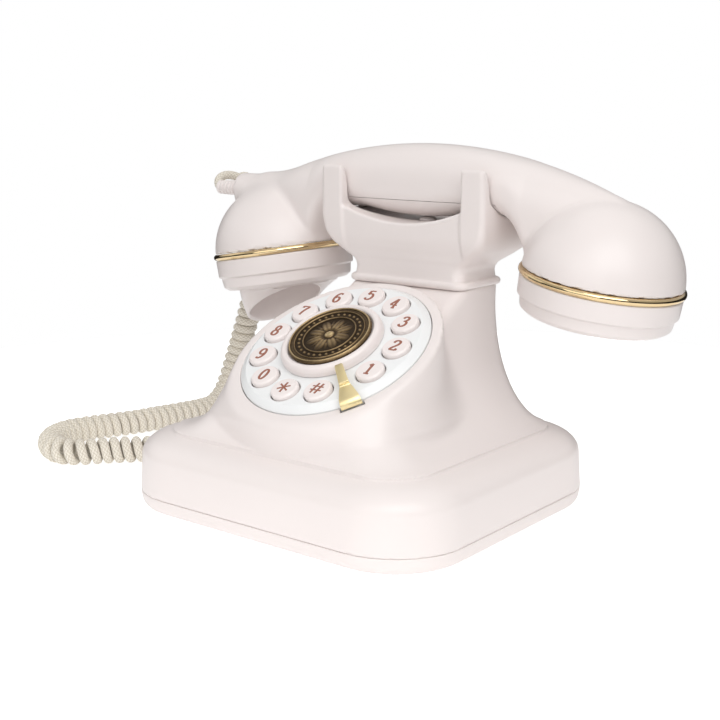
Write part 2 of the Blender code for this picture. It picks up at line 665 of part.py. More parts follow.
def make_cord(lift):
    relief = turned("cord_relief", ((0, 3.6), (3.2, 3.6), (4.6, 0.3), (3.6, 0), (3.6, -4), (0, -4)),
                    SHELL, steps=16)
    relief.rotation_euler = (0.0, math.radians(-90), 0.0)
    relief.location = mm(BOSS_END - 0.3, *BOSS_CENTRE)
    relief.parent = lift
    tube("cord_lead", LEAD_ROUTE, WIRE, 5)
    tube("cord_hanging_coil", HANG_ROUTE, COIL, 10)
    tube("cord_table_coil", TABLE_ROUTE, COIL, 9)
    tube("cord_tail", TAIL_ROUTE, WIRE, 5)


def centre_on_origin():
    """Put the middle of the phone's box, without its cord, over the origin."""
    middle = (HANDSET_Y + RING_RADIUS - BASE_DEPTH / 2) / 2
    for obj in list(PARTS.objects) + list(CUTTERS.objects):
        if obj.parent is None:
            obj.location.y -= middle * MM


def build():
    dial = empty("dial_frame", DIAL_CENTRE, (DIAL_TILT, 0.0, 0.0))
    lift = empty("handset_lift_frame", (0.0, 0.0, 0.0))
    left = empty("mouth_cup_frame", (-RING_X, HANDSET_Y, RING_Z), (0.0, -CUP_TILT, 0.0), lift)
    right = empty("ear_cup_frame", (RING_X, HANDSET_Y, RING_Z), (0.0, CUP_TILT, 0.0), lift)
    hook = empty("hook_frame", (0.0, HANDSET_Y, PLUNGER_TOP))
    make_housing(dial)
    make_rear_panel()
    make_bottom_cover()
    make_inside()
    make_jacks()
    make_dial(dial)
    make_finger_stop(dial)
    make_cradle()
    make_hook(hook)
    make_handset_shells(lift, left, right)
    make_rings(left, right)
    make_ear_side(right)
    make_mouth_side(left)
    block("handset_weight", (-13, 42, 131), (13, 54, 139), STEEL, lift, bevel=0.8)
    make_cord(lift)
    centre_on_origin()


build()
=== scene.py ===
"""The retro desk telephone's looks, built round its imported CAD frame.

Shapes are worked out in millimetres, with the middle of the plinth at x = 0, y = 0 and the
table at z = 0, as in the CAD source. to_row() takes them into the frame's metres.
"""
import json
import math

import bmesh
import bpy
import numpy as np
from mathutils import Matrix, Vector


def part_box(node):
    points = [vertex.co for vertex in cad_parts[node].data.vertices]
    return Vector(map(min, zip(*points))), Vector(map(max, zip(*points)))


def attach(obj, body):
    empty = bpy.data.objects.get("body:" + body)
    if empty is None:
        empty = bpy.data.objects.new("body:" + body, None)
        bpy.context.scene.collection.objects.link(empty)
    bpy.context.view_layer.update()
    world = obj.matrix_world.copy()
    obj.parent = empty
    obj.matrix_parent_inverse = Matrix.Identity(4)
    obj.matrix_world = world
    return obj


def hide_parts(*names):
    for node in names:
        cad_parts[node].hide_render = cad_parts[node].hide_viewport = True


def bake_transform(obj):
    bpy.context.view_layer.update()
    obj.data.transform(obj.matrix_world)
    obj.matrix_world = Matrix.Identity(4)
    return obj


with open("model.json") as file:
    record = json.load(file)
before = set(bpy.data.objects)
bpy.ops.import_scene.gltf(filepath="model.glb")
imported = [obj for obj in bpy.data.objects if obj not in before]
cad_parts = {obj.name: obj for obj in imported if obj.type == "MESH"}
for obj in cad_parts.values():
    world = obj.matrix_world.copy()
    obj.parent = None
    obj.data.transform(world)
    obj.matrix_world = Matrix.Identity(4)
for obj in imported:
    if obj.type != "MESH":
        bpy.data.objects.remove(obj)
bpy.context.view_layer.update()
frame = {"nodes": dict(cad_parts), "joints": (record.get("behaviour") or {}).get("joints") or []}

MM = 0.001
LOW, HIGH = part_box("bottom_cover")
MIDDLE = np.array([(LOW[0] + HIGH[0]) / 2, (LOW[1] + HIGH[1]) / 2, 0.0])

# Plinth, flare and neck
BASE_HALF = (80.0, 72.25)
BASE_RADIUS = 32.0
BASE_BOTTOM = 0.8
COVER_TOP = 7.7
HOUSING_BOTTOM = 7.88
SHOULDER_START = 23.0
SHOULDER_TOP = 32.5
SHOULDER_INSET = 15.0
CREASE_HALF = (65.5, 59.0)
CREASE_RADIUS = 20.0
LIP_TOP = 34.0
NECK_TOP = 90.46
NECK_HALF = 30.5
NECK_REAR = 61.5
NECK_RADIUS = 6.0
FLARE_POWER = 0.58
FRONT_INSET = 14.0
WALL = 2.5
NET_STEP = 1.15

# Dial
DIAL_CENTRE = (0.0, -17.6, 69.8)
DIAL_NORMAL = -Vector(next(j["axis"] for j in frame["joints"] if j["name"] == "press_1")).normalized()
DIAL_TILT = math.atan2(-DIAL_NORMAL.y, DIAL_NORMAL.z)
RIM_RADIUS = 46.7
RECESS_RADIUS = 41.6
WELL_RADIUS = 39.3
PLATE_RADIUS = 41.3
PLATE_TOP = 2.4
KEY_RADIUS = 5.9
KEY_TOP = 4.3
KEY_PITCH_RADIUS = 31.06
KEY_FIRST = math.radians(-24.53)
KEY_STEP = math.radians(28.99)
STOP_ANGLE = math.radians(-45.1)
STROKE = 6.2
THICK = 0.19
THIN = 0.115
KEY_NAMES = ("1", "2", "3", "4", "5", "6", "7", "8", "9", "0", "star", "hash")

# Cradle and handset
HANDSET_Y = 48.0
HEAD_BOTTOM = 90.5
HEAD_TOP = 142.0
SADDLE = 118.0
RING_X = 86.5
RING_Z = 98.5
CUP_TILT = math.radians(9.5)
DOME_RADIUS = 33.2
DOME_HEIGHT = 33.0
DOME_POWER = 2.02
RING_HALF = 1.58
BOSS_END = -115.0
BOSS_CENTRE = (50.0, 127.0)
BOSS_RADIUS = 7.6
PARTING = 127.5
STRIP_HALF = 44.0

# Studio
KEY_POWER = 4.0
SIDE_POWER = 0.8
TOP_POWER = 2.0
RIGHT_POWER = 6.2
ROOM_LIGHT = 0.50
FLOOR_GLOW = 0.32
FLOOR_SHOWN = 0.36
FLOOR_RADIUS = 420.0
CAMERA_PLACE = (319.1, -404.4, 168.9)
CAMERA_FACING = (-0.60738, 0.76797, -0.20328)
LENS = 61.96

# Cord
WIRE = 4.4
COIL_RADIUS = 4.2
PITCH = 4.45
LOOSER = 0.85
LINE_STEP = 0.2
RING_SPACING = 1.35
LEAD_ROUTE = ((-115.4, 50.0, 127.0), (-122.0, 50.0, 127.0), (-128.5, 50.0, 127.0),
              (-132.2, 50.4, 127.9), (-134.0, 52.6, 130.8), (-132.8, 56.4, 132.6), (-130.0, 61.4, 131.6))
HANG_ROUTE = ((-129, 65.0, 128.5), (-130, 71, 122.5), (-130.8, 76, 113), (-131.2, 79, 102),
              (-131.8, 79.5, 88), (-134.0, 78, 72), (-139, 76.5, 54), (-144.5, 75.5, 38),
              (-149.0, 74, 24), (-151, 70.5, 13.6), (-150.9, 64, 8.3), (-151, 58, 6.7),
              (-151.2, 53, 6.5))
TABLE_ROUTE = ((-151.3, 52.2, 6.5), (-151.8, 47.5, 6.5), (-153.6, 39, 6.5), (-156.4, 27, 6.5),
               (-159.1, 15, 6.5), (-162.5, 5, 6.5), (-166.7, -5, 6.5), (-170, -15, 6.5),
               (-170.5, -24.5, 6.5), (-167.2, -33.6, 6.5), (-160.9, -40.4, 6.5),
               (-152.5, -45, 6.5), (-145.2, -46, 6.5), (-139, -43.3, 6.5),
               (-134.1, -38.4, 6.5), (-129.9, -32.8, 6.5), (-124.9, -27.2, 6.5),
               (-117.6, -19.8, 6.5), (-111, -12.5, 6.5))
TAIL_ROUTE = ((-110.4, -11.8, 6.6), (-108, -8.4, 6.9), (-105.5, -4.2, 8.4), (-103, 0, 11),
              (-100, 3.8, 13.6), (-96.8, 5.8, 14.9), (-93.4, 6, 15))


# ---- frames and meshes

def to_row(points):
    """Millimetres from the middle of the plinth to metres in the row frame."""
    return np.asarray(points, float) * MM + MIDDLE


def shifted(place, points):
    """Points moved by a matrix."""
    matrix = np.array(place)
    return np.asarray(points, float) @ matrix[:3, :3].T + matrix[:3, 3]


DIAL = Matrix.Translation(DIAL_CENTRE) @ Matrix.Rotation(DIAL_TILT, 4, "X")
MOUTH_CUP = Matrix.Translation((-RING_X, HANDSET_Y, RING_Z)) @ Matrix.Rotation(-CUP_TILT, 4, "Y")
EAR_CUP = Matrix.Translation((RING_X, HANDSET_Y, RING_Z)) @ Matrix.Rotation(CUP_TILT, 4, "Y")


def placed(name, data):
    """An object in the scene that holds this mesh, light or camera."""
    obj = bpy.data.objects.new(name, data)
    bpy.context.scene.collection.objects.link(obj)
    return obj


def make_mesh(name, points, faces, place=None, sharp=40.0):
    """A mesh object from millimetre points, in place in the row frame."""
    if place is not None:
        points = shifted(place, points)
    mesh = bpy.data.meshes.new(name)
    mesh.from_pydata(to_row(points).tolist(), [], [list(map(int, face)) for face in faces])
    mesh.validate()
    bm = bmesh.new()
    bm.from_mesh(mesh)
    bmesh.ops.recalc_face_normals(bm, faces=bm.faces)
    bm.to_mesh(mesh)
    bm.free()
    smooth(mesh, sharp)
    return placed(name, mesh)


def smooth(mesh, sharp):
    mesh.shade_smooth()
    mesh.set_sharp_from_angle(angle=math.radians(sharp))


def show(obj, body, slot, material, *nodes):
    """Give a finished piece its body and finish, and hide the CAD nodes that it stands for."""
    obj.data.materials.clear()
    obj.data.materials.append(material)
    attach(obj, body)
    if nodes:
        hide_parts(*nodes)
    return obj


def applied(obj, sharp=40.0):
    """Apply an object's modifiers to its mesh."""
    depsgraph = bpy.context.evaluated_depsgraph_get()
    mesh = bpy.data.meshes.new_from_object(obj.evaluated_get(depsgraph))
    obj.modifiers.clear()
    obj.data = mesh
    smooth(mesh, sharp)
    return obj


def combined(obj, others, operation, sharp=40.0):
    """Boolean a list of helper objects with obj, then remove them."""
    for other in others:
        step = obj.modifiers.new("step", "BOOLEAN")
        step.object = other
        step.operation = operation
        step.solver = "EXACT"
    applied(obj, sharp)
    for other in others:
        bpy.data.objects.remove(other, do_unlink=True)
    return obj


def bevelled(obj, width, segments=2):
    rounding = obj.modifiers.new("edges", "BEVEL")
    rounding.width = width * MM
    rounding.segments = segments
    rounding.limit_method = "ANGLE"
    rounding.angle_limit = math.radians(40.0)
    rounding.harden_normals = False
    return applied(obj)


def softened(profile, radius, steps=5):
    """A profile with each inner corner replaced by a short curve of about that radius."""
    points = [np.array(p, float) for p in profile]
    result = [points[0]]
    for before, corner, after in zip(points, points[1:], points[2:]):
        reach_in = min(radius, np.linalg.norm(before - corner) * 0.45)
        reach_out = min(radius, np.linalg.norm(after - corner) * 0.45)
        start = corner + (before - corner) / np.linalg.norm(before - corner) * reach_in
        end = corner + (after - corner) / np.linalg.norm(after - corner) * reach_out
        for k in range(steps + 1):
            t = k / steps
            result.append((1 - t) ** 2 * start + 2 * t * (1 - t) * corner + t * t * end)
    return result + [points[-1]]


def turned(name, profile, place=None, steps=96, closed=False):
    """A (radius, height) profile turned about Z; points on the axis close it."""
    points = []
    rows = []
    for radius, height in profile:
        if radius < 1e-6:
            rows.append([len(points)] * steps)
            points.append((0.0, 0.0, height))
            continue
        rows.append([len(points) + k for k in range(steps)])
        for k in range(steps):
            turn = 2 * math.pi * k / steps
            points.append((radius * math.cos(turn), radius * math.sin(turn), height))
    if closed:
        rows.append(rows[0])
    faces = []
    for low, high in zip(rows, rows[1:]):
        for k in range(steps):
            after = (k + 1) % steps
            face = [low[k], low[after], high[after], high[k]]
            faces.append(list(dict.fromkeys(face)))
    return make_mesh(name, points, [f for f in faces if len(f) > 2], place)


def drill(name, radius, low, high, place, steps):
    """A plain cylinder between two heights, for cutting."""
    return turned(name, [(0, low), (radius, low), (radius, high), (0, high)], place, steps)


def lofted(name, rings, place=None, sharp=40.0):
    """A skin over rings of equal point counts, closed at both ends."""
    count = len(rings[0])
    points = [point for ring in rings for point in ring]
    faces = []
    for row in range(len(rings) - 1):
        for k in range(count):
            after = (k + 1) % count
            low = row * count
            faces.append((low + k, low + after, low + count + after, low + count + k))
    faces.append(range(count))
    faces.append(range(len(points) - count, len(points)))
    return make_mesh(name, points, faces, place, sharp)


def block(name, low, high, place=None):
    corners = [(low, low), (high, low), (high, high), (low, high)]
    rings = [[(a[0], b[1], z) for a, b in corners] for z in (low[2], high[2])]
    return lofted(name, rings, place, 30.0)


# ---- fields

def box_field(x, y, half_x, half_y, radius):
    """Distance to a rounded rectangle, negative inside."""
    across = np.abs(x) - (half_x - radius)
    along = np.abs(y) - (half_y - radius)
    outside = np.hypot(np.maximum(across, 0), np.maximum(along, 0))
    return outside + np.minimum(np.maximum(across, along), 0) - radius


def soft_max(a, b, size):
    """The larger of two fields, with the edge between them rounded."""
    share = np.maximum(size - np.abs(a - b), 0) / size
    return np.maximum(a, b) + share * share * size / 4


def soft_min(a, b, size):
    return -soft_max(-a, -b, size)


def slope_of(field, points):
    """Value and gradient of a field."""
    value = field(*points.T)
    step = 0.01
    slope = [(field(*(points + step * way).T) - field(*(points - step * way).T)) / (2 * step)
             for way in np.eye(3)]
    return value, np.stack(slope, -1)


def pulled(field, points, rounds=4):
    """Points moved onto the zero surface of a field by Newton's steps."""
    for _ in range(rounds):
        value, slope = slope_of(field, points)
        share = value / np.maximum((slope * slope).sum(-1), 1e-4)
        points = points - np.clip(share[:, None] * slope, -0.6, 0.6)
    return points


def net(name, field, low, high, step, relax=3):
    """A mesh of a field's zero surface: one corner in each crossed cell, evened and pulled onto it."""
    axes = [np.arange(a, b + step, step) for a, b in zip(low, high)]
    x, y, z = np.meshgrid(*axes, indexing="ij")
    inside = field(x, y, z) < 0
    count = sum(inside[i:inside.shape[0] - 1 + i, j:inside.shape[1] - 1 + j,
                       k:inside.shape[2] - 1 + k].astype(np.int8)
                for i in (0, 1) for j in (0, 1) for k in (0, 1))
    crossed = (count > 0) & (count < 8)
    number = np.full(crossed.shape, -1)
    number[crossed] = np.arange(crossed.sum())
    cells = np.argwhere(crossed)
    points = (cells + 0.5) * step + np.array([axis[0] for axis in axes])
    quads = np.concatenate([net_faces(inside, number, axis) for axis in range(3)])
    points = pulled(field, points)
    for _ in range(relax):
        points = pulled(field, evened(points, quads), 2)
    return make_mesh(name, points, quads, None, 50.0)


def net_faces(inside, number, axis):
    """The quads round every grid edge along one axis that crosses the surface."""
    inside = np.moveaxis(inside, axis, 0)
    number = np.moveaxis(number, axis, 0)
    change = inside[1:, 1:-1, 1:-1] != inside[:-1, 1:-1, 1:-1]
    i, j, k = np.nonzero(change)
    j = j + 1
    k = k + 1
    faces = np.stack([number[i, j - 1, k - 1], number[i, j, k - 1],
                      number[i, j, k], number[i, j - 1, k]], -1)
    turn = inside[i, j, k] != (axis == 1)
    faces[turn] = faces[turn][:, ::-1]
    return faces


def evened(points, quads):
    """Each point halfway to the mean of its neighbours."""
    one = np.concatenate([quads[:, k] for k in range(4)] + [quads[:, k] for k in range(4)])
    two = np.concatenate([quads[:, (k + 1) % 4] for k in range(4)]
                         + [quads[:, k - 1] for k in range(4)])
    weight = np.bincount(one, minlength=len(points))
    mean = np.stack([np.bincount(one, points[two, axis], len(points)) for axis in range(3)], -1)
    return points * 0.5 + mean / np.maximum(weight, 1)[:, None] * 0.5


def smooth_curve(stations, spacing):
    """A dense table along smooth curves through (key, value, ...) stations."""
    stations = np.array(stations, float)
    dense = [stations[0]]
    ends = np.concatenate([[2 * stations[0] - stations[1]], stations, [2 * stations[-1] - stations[-2]]])
    for a, b, c, d in zip(ends, ends[1:], ends[2:], ends[3:]):
        count = max(1, round(float(np.linalg.norm((c - b)[:3])) / spacing))
        for step in range(1, count + 1):
            t = step / count
            dense.append(0.5 * (2 * b + (c - a) * t + (2 * a - 5 * b + 4 * c - d) * t * t
                                + (3 * b - a - 3 * c + d) * t ** 3))
    return np.array(dense)


# ---- materials

def new_material(name, colour, roughness, metallic=0.0):
    material = bpy.data.materials.new(name)
    material.use_nodes = True
    shader = material.node_tree.nodes["Principled BSDF"]
    shader.inputs["Base Color"].default_value = (*colour, 1.0)
    shader.inputs["Roughness"].default_value = roughness
    shader.inputs["Metallic"].default_value = metallic
    return material, material.node_tree, shader


def noise(tree, scale, detail):
    """Noise in the piece's own metres."""
    place = tree.nodes.new("ShaderNodeTexCoord")
    node = tree.nodes.new("ShaderNodeTexNoise")
    node.inputs["Scale"].default_value = scale
    node.inputs["Detail"].default_value = detail
    tree.links.new(place.outputs["Object"], node.inputs["Vector"])
    return node.outputs["Fac"]


def ramp(tree, source, stops):
    """A colour ramp with (place, colour) stops."""
    node = tree.nodes.new("ShaderNodeValToRGB")
    elements = node.color_ramp.elements
    while len(elements) < len(stops):
        elements.new(0.5)
    for element, (place, colour) in zip(elements, stops):
        element.position = place
        element.color = (*colour, 1.0)
    tree.links.new(source, node.inputs["Fac"])
    return node.outputs["Color"]


def spread(tree, source, low, high, start=0.3, end=0.7):
    """A value mapped from start-end to low-high."""
    node = tree.nodes.new("ShaderNodeMapRange")
    node.inputs["From Min"].default_value = start
    node.inputs["From Max"].default_value = end
    node.inputs["To Min"].default_value = low
    node.inputs["To Max"].default_value = high
    tree.links.new(source, node.inputs["Value"])
    return node.outputs["Result"]


def bump(tree, shader, source, strength, distance):
    node = tree.nodes.new("ShaderNodeBump")
    node.inputs["Strength"].default_value = strength
    node.inputs["Distance"].default_value = distance
    tree.links.new(source, node.inputs["Height"])
    tree.links.new(node.outputs["Normal"], shader.inputs["Normal"])


def maths(tree, operation, one, two=None):
    node = tree.nodes.new("ShaderNodeMath")
    node.operation = operation
    for socket, value in zip(node.inputs, (one, two)):
        if isinstance(value, (int, float)):
            socket.default_value = value
        elif value is not None:
            tree.links.new(value, socket)
    return node.outputs["Value"]


def moulded(name, colour, shade, roughness, grain=900.0, depth=0.00003):
    """Moulded plastic: faint tone drift, a fine grain and slightly uneven gloss."""
    material, tree, shader = new_material(name, colour, roughness)
    drift = noise(tree, 22.0, 2.0)
    tree.links.new(ramp(tree, drift, ((0.1, shade), (0.9, colour))), shader.inputs["Base Color"])
    patches = noise(tree, 40.0, 1.0)
    gloss = spread(tree, patches, roughness - 0.012, roughness + 0.012, 0.1, 0.9)
    tree.links.new(gloss, shader.inputs["Roughness"])
    bump(tree, shader, noise(tree, grain, 2.0), 0.15, depth)
    return material


def polished(name, colour, shade, roughness):
    """Plated metal with a slow tone change and fine polishing marks."""
    material, tree, shader = new_material(name, colour, roughness, 1.0)
    tone = noise(tree, 60.0, 1.0)
    tree.links.new(ramp(tree, tone, ((0.2, shade), (0.8, colour))), shader.inputs["Base Color"])
    marks = noise(tree, 700.0, 2.0)
    gloss = spread(tree, marks, roughness * 0.9, roughness * 1.15)
    tree.links.new(gloss, shader.inputs["Roughness"])
    bump(tree, shader, marks, 0.04, 0.000002)
    return material


def antique(name):
    """Bronze whose hollows stay dark and whose high places are rubbed bright."""
    material, tree, shader = new_material(name, (0.3, 0.2, 0.1), 0.4, 1.0)
    relief = tree.nodes.new("ShaderNodeAttribute")
    relief.attribute_name = "relief"
    blotch = noise(tree, 700.0, 4.0)
    level = maths(tree, "ADD", relief.outputs["Fac"], maths(tree, "MULTIPLY", blotch, 0.3))
    stops = ((0.16, (0.055, 0.037, 0.022)), (0.45, (0.13, 0.088, 0.047)),
             (0.72, (0.33, 0.23, 0.12)), (1.0, (0.72, 0.55, 0.30)))
    tree.links.new(ramp(tree, level, stops), shader.inputs["Base Color"])
    tree.links.new(spread(tree, level, 0.55, 0.26, 0.2, 0.95), shader.inputs["Roughness"])
    bump(tree, shader, blotch, 0.35, 0.00008)
    return material


def braided(name):
    """A woven cotton sleeve; the piece's UV map runs (metres along, share of a turn round)."""
    material, tree, shader = new_material(name, (0.6, 0.55, 0.45), 0.85)
    where = tree.nodes.new("ShaderNodeUVMap")
    where.uv_map = "sleeve"
    parts = tree.nodes.new("ShaderNodeSeparateXYZ")
    tree.links.new(where.outputs["UV"], parts.inputs["Vector"])
    along = maths(tree, "MULTIPLY", parts.outputs["X"], 560.0)
    around = maths(tree, "MULTIPLY", parts.outputs["Y"], 8.0)
    one = maths(tree, "ADD", along, around)
    two = maths(tree, "SUBTRACT", along, around)
    cells = maths(tree, "ADD", maths(tree, "FLOOR", one), maths(tree, "FLOOR", two))
    over = maths(tree, "MODULO", maths(tree, "ABSOLUTE", cells), 2.0)
    round_one = maths(tree, "SINE", maths(tree, "MULTIPLY", maths(tree, "FRACT", one), math.pi))
    round_two = maths(tree, "SINE", maths(tree, "MULTIPLY", maths(tree, "FRACT", two), math.pi))
    first = maths(tree, "MULTIPLY", round_one, over)
    second = maths(tree, "MULTIPLY", round_two, maths(tree, "SUBTRACT", 1.0, over))
    weave = maths(tree, "ADD", first, second)
    threads = noise(tree, 2500.0, 2.0)
    level = maths(tree, "ADD", maths(tree, "MULTIPLY", weave, 0.8), maths(tree, "MULTIPLY", threads, 0.4))
    # The ramp follows the weave's height, so the low places between threads come out darker: painted shade
    # in the weave's hollows. The thread noise adds random tone.
    stops = ((0.0, (0.38, 0.33, 0.25)), (0.45, (0.67, 0.61, 0.50)), (1.0, (0.86, 0.81, 0.72)))
    tree.links.new(ramp(tree, level, stops), shader.inputs["Base Color"])
    shader.inputs["Sheen Weight"].default_value = 0.25
    shader.inputs["Sheen Roughness"].default_value = 0.5
    bump(tree, shader, level, 0.8, 0.00025)
    return material


SHELL = moulded("shell_plastic", (0.845, 0.78, 0.76), (0.83, 0.765, 0.745), 0.33)
HUB = moulded("hub_plastic", (0.86, 0.79, 0.77), (0.845, 0.775, 0.755), 0.3)
PLATE = moulded("plate_plastic", (0.86, 0.87, 0.87), (0.85, 0.86, 0.862), 0.32)
KEY = moulded("key_plastic", (0.88, 0.81, 0.79), (0.87, 0.80, 0.78), 0.28, 1600.0, 0.000008)
INK = moulded("key_ink", (0.36, 0.14, 0.09), (0.30, 0.11, 0.07), 0.5, 2500.0, 0.00001)
RUBBER = moulded("dark_rubber", (0.022, 0.022, 0.024), (0.035, 0.034, 0.033), 0.75, 1800.0, 0.00008)
BLACK = moulded("black_plastic", (0.03, 0.03, 0.032), (0.045, 0.044, 0.043), 0.42, 1500.0)
BOARD = moulded("circuit_board", (0.03, 0.16, 0.07), (0.02, 0.12, 0.05), 0.4, 500.0, 0.00005)
CLEAR = moulded("clear_plastic", (0.62, 0.66, 0.66), (0.55, 0.6, 0.6), 0.15, 700.0, 0.00002)
GOLDEN = polished("gold_plate", (0.82, 0.64, 0.38), (0.78, 0.60, 0.34), 0.06)
BRASS = polished("pale_brass", (0.90, 0.76, 0.44), (0.87, 0.73, 0.41), 0.4)
STEEL = polished("zinc_steel", (0.62, 0.62, 0.61), (0.5, 0.5, 0.5), 0.3)
BRONZE = antique("antique_bronze")
BRAID = braided("cord_braid")
FLOOR = moulded("floor_paper", (0.9, 0.9, 0.9), (0.88, 0.88, 0.885), 0.8, 300.0)


# ---- camera and cord

def make_camera():
    """The photograph's viewpoint: in front of the phone, to its right and a little above."""
    camera = placed("camera", bpy.data.cameras.new("camera"))
    camera.location = to_row(CAMERA_PLACE)
    camera.rotation_euler = Vector(CAMERA_FACING).to_track_quat("-Z", "Y").to_euler()
    camera.data.sensor_width = 36.0
    camera.data.lens = LENS
    camera.data.clip_start = 0.01
    bpy.context.scene.camera = camera


def coil_share(travel, start, end, ease):
    """0 on the plain stretches and 1 on the coiled one."""
    share = np.clip(np.minimum((travel - start) / ease, (end - travel) / ease), 0, 1)
    return share * share * (3 - 2 * share)


def cord_line():
    """The wire's centreline: the route, with a helix wound about its coiled stretch."""
    route = smooth_curve(LEAD_ROUTE + HANG_ROUTE[:-1] + TABLE_ROUTE + TAIL_ROUTE[1:], 0.25)
    steps = np.linalg.norm(np.diff(route, axis=0), axis=1)
    travel = np.concatenate([[0], np.cumsum(steps)])
    fine = np.arange(0, travel[-1], LINE_STEP)
    axis = np.stack([np.interp(fine, travel, route[:, k]) for k in range(3)], -1)
    ahead = np.gradient(axis, axis=0)
    ahead /= np.linalg.norm(ahead, axis=1)[:, None]
    side = np.array([0.0, 0.0, 1.0])
    sides = []
    for way in ahead:
        side = side - way * side.dot(way)
        side /= np.linalg.norm(side)
        sides.append(side)
    sides = np.array(sides)
    other = np.cross(ahead, sides)
    lead_end = fine[np.linalg.norm(axis - np.array(LEAD_ROUTE[-1]), axis=1).argmin()]
    table_end = fine[np.linalg.norm(axis - np.array(TABLE_ROUTE[-1]), axis=1).argmin()]
    near_run = fine[np.linalg.norm(axis - np.array(TABLE_ROUTE[9]), axis=1).argmin()]
    reach = COIL_RADIUS * coil_share(fine, lead_end, table_end, 5.0)
    loose = np.clip((fine - near_run + 10) / 25, 0, 1)
    pitch = PITCH + LOOSER * loose + 0.08 * np.sin(fine * 0.23)
    turn = np.cumsum(2 * math.pi * LINE_STEP / pitch)
    line = axis + reach[:, None] * (np.cos(turn)[:, None] * sides + np.sin(turn)[:, None] * other)
    length = np.concatenate([[0], np.cumsum(np.linalg.norm(np.diff(line, axis=0), axis=1))])
    spots = np.linspace(0, length[-1], int(length[-1] / RING_SPACING))
    line = np.stack([np.interp(spots, length, line[:, k]) for k in range(3)], -1)
    return line, length[-1]


def tube_rings(line, radius, steps):
    """Rings round a line that don't twist."""
    ahead = np.gradient(line, axis=0)
    ahead /= np.linalg.norm(ahead, axis=1)[:, None]
    side = np.array([0.0, 0.0, 1.0])
    angles = np.arange(steps) * 2 * math.pi / steps
    rings = []
    for centre, way in zip(line, ahead):
        side = side - way * side.dot(way)
        side /= np.linalg.norm(side)
        other = np.cross(way, side)
        rings.append(centre + radius * (np.cos(angles)[:, None] * side + np.sin(angles)[:, None] * other))
    return rings


def make_cord():
    line, length = cord_line()
    steps = 14
    cord = lofted("curly_cord", tube_rings(line, WIRE / 2, steps), None, 80.0)
    sleeve = cord.data.uv_layers.new(name="sleeve")
    for polygon in cord.data.polygons:
        corners = [cord.data.loops[k].vertex_index for k in polygon.loop_indices]
        wraps = len(corners) == 4 and {c % steps for c in corners} == {0, steps - 1}
        for loop, corner in zip(polygon.loop_indices, corners):
            around = corner % steps
            if wraps and around == 0:
                around = steps
            along = corner // steps * length / (len(line) - 1) * MM
            sleeve.data[loop].uv = (along, around / steps)
    cord.data.materials.append(BRAID)
    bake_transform(cord)
    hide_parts("cord_lead", "cord_hanging_coil", "cord_table_coil", "cord_tail")


# ---- housing

def flare_share(height):
    rise = np.clip((height - LIP_TOP) / (NECK_TOP - LIP_TOP), 0, 1)
    return (1 - rise ** FLARE_POWER) ** (1 / FLARE_POWER)


def plinth_field(x, y, z):
    core = box_field(x, y, BASE_HALF[0] - SHOULDER_INSET - 1, BASE_HALF[1] - SHOULDER_INSET - 1,
                     BASE_RADIUS - SHOULDER_INSET - 1)
    draft = np.clip(SHOULDER_START - z, 0, 16) / 15.0
    across = np.maximum(core, 0) / (SHOULDER_INSET + draft)
    rise = np.maximum(z - SHOULDER_START, 0) / (SHOULDER_TOP - SHOULDER_START)
    return (np.hypot(across, rise) - 1) * 11.0


def dial_height(y, z):
    """Height above the dial's plane."""
    return ((y - DIAL_CENTRE[1]) * -math.sin(DIAL_TILT) + (z - DIAL_CENTRE[2]) * math.cos(DIAL_TILT))


def flare_field(x, y, z):
    share = flare_share(z)
    lower = flare_share(z - 0.5)
    half_x = NECK_HALF + (CREASE_HALF[0] - NECK_HALF) * share
    front = -CREASE_HALF[1] + FRONT_INSET * (1 - share)
    rear = NECK_REAR - (NECK_REAR - CREASE_HALF[1]) * share
    radius = NECK_RADIUS + (CREASE_RADIUS - NECK_RADIUS) * np.sqrt(share)
    sides = box_field(x, y - (front + rear) / 2, half_x, (rear - front) / 2, radius)
    sides = sides / np.hypot(1, (CREASE_HALF[0] - NECK_HALF) * (lower - share) / 0.5)
    return soft_max(soft_max(sides, dial_height(y, z) + 6.0, 5.0), z - NECK_TOP, 0.4)


def boss_field(x, y, z):
    """The dial's round seat dropped straight down from its tilted rim."""
    along = (y - DIAL_CENTRE[1]) / math.cos(DIAL_TILT)
    return np.maximum(np.hypot(x, along) - RIM_RADIUS, LIP_TOP - 6 - z)


def housing_field(x, y, z):
    fillet = np.clip((78.0 - z) / 30.0, 0, 1) * np.clip((z - 34.5) / 9.0, 0, 1)
    blend = 1.6 + 11.0 * fillet
    upper = soft_min(flare_field(x, y, z), boss_field(x, y, z), blend)
    upper = soft_max(upper, dial_height(y, z), 2.4)
    return soft_min(upper, plinth_field(x, y, z), 0.9)


def housing_shell(x, y, z):
    return soft_max(housing_field(x, y, z), HOUSING_BOTTOM - z, 0.5)


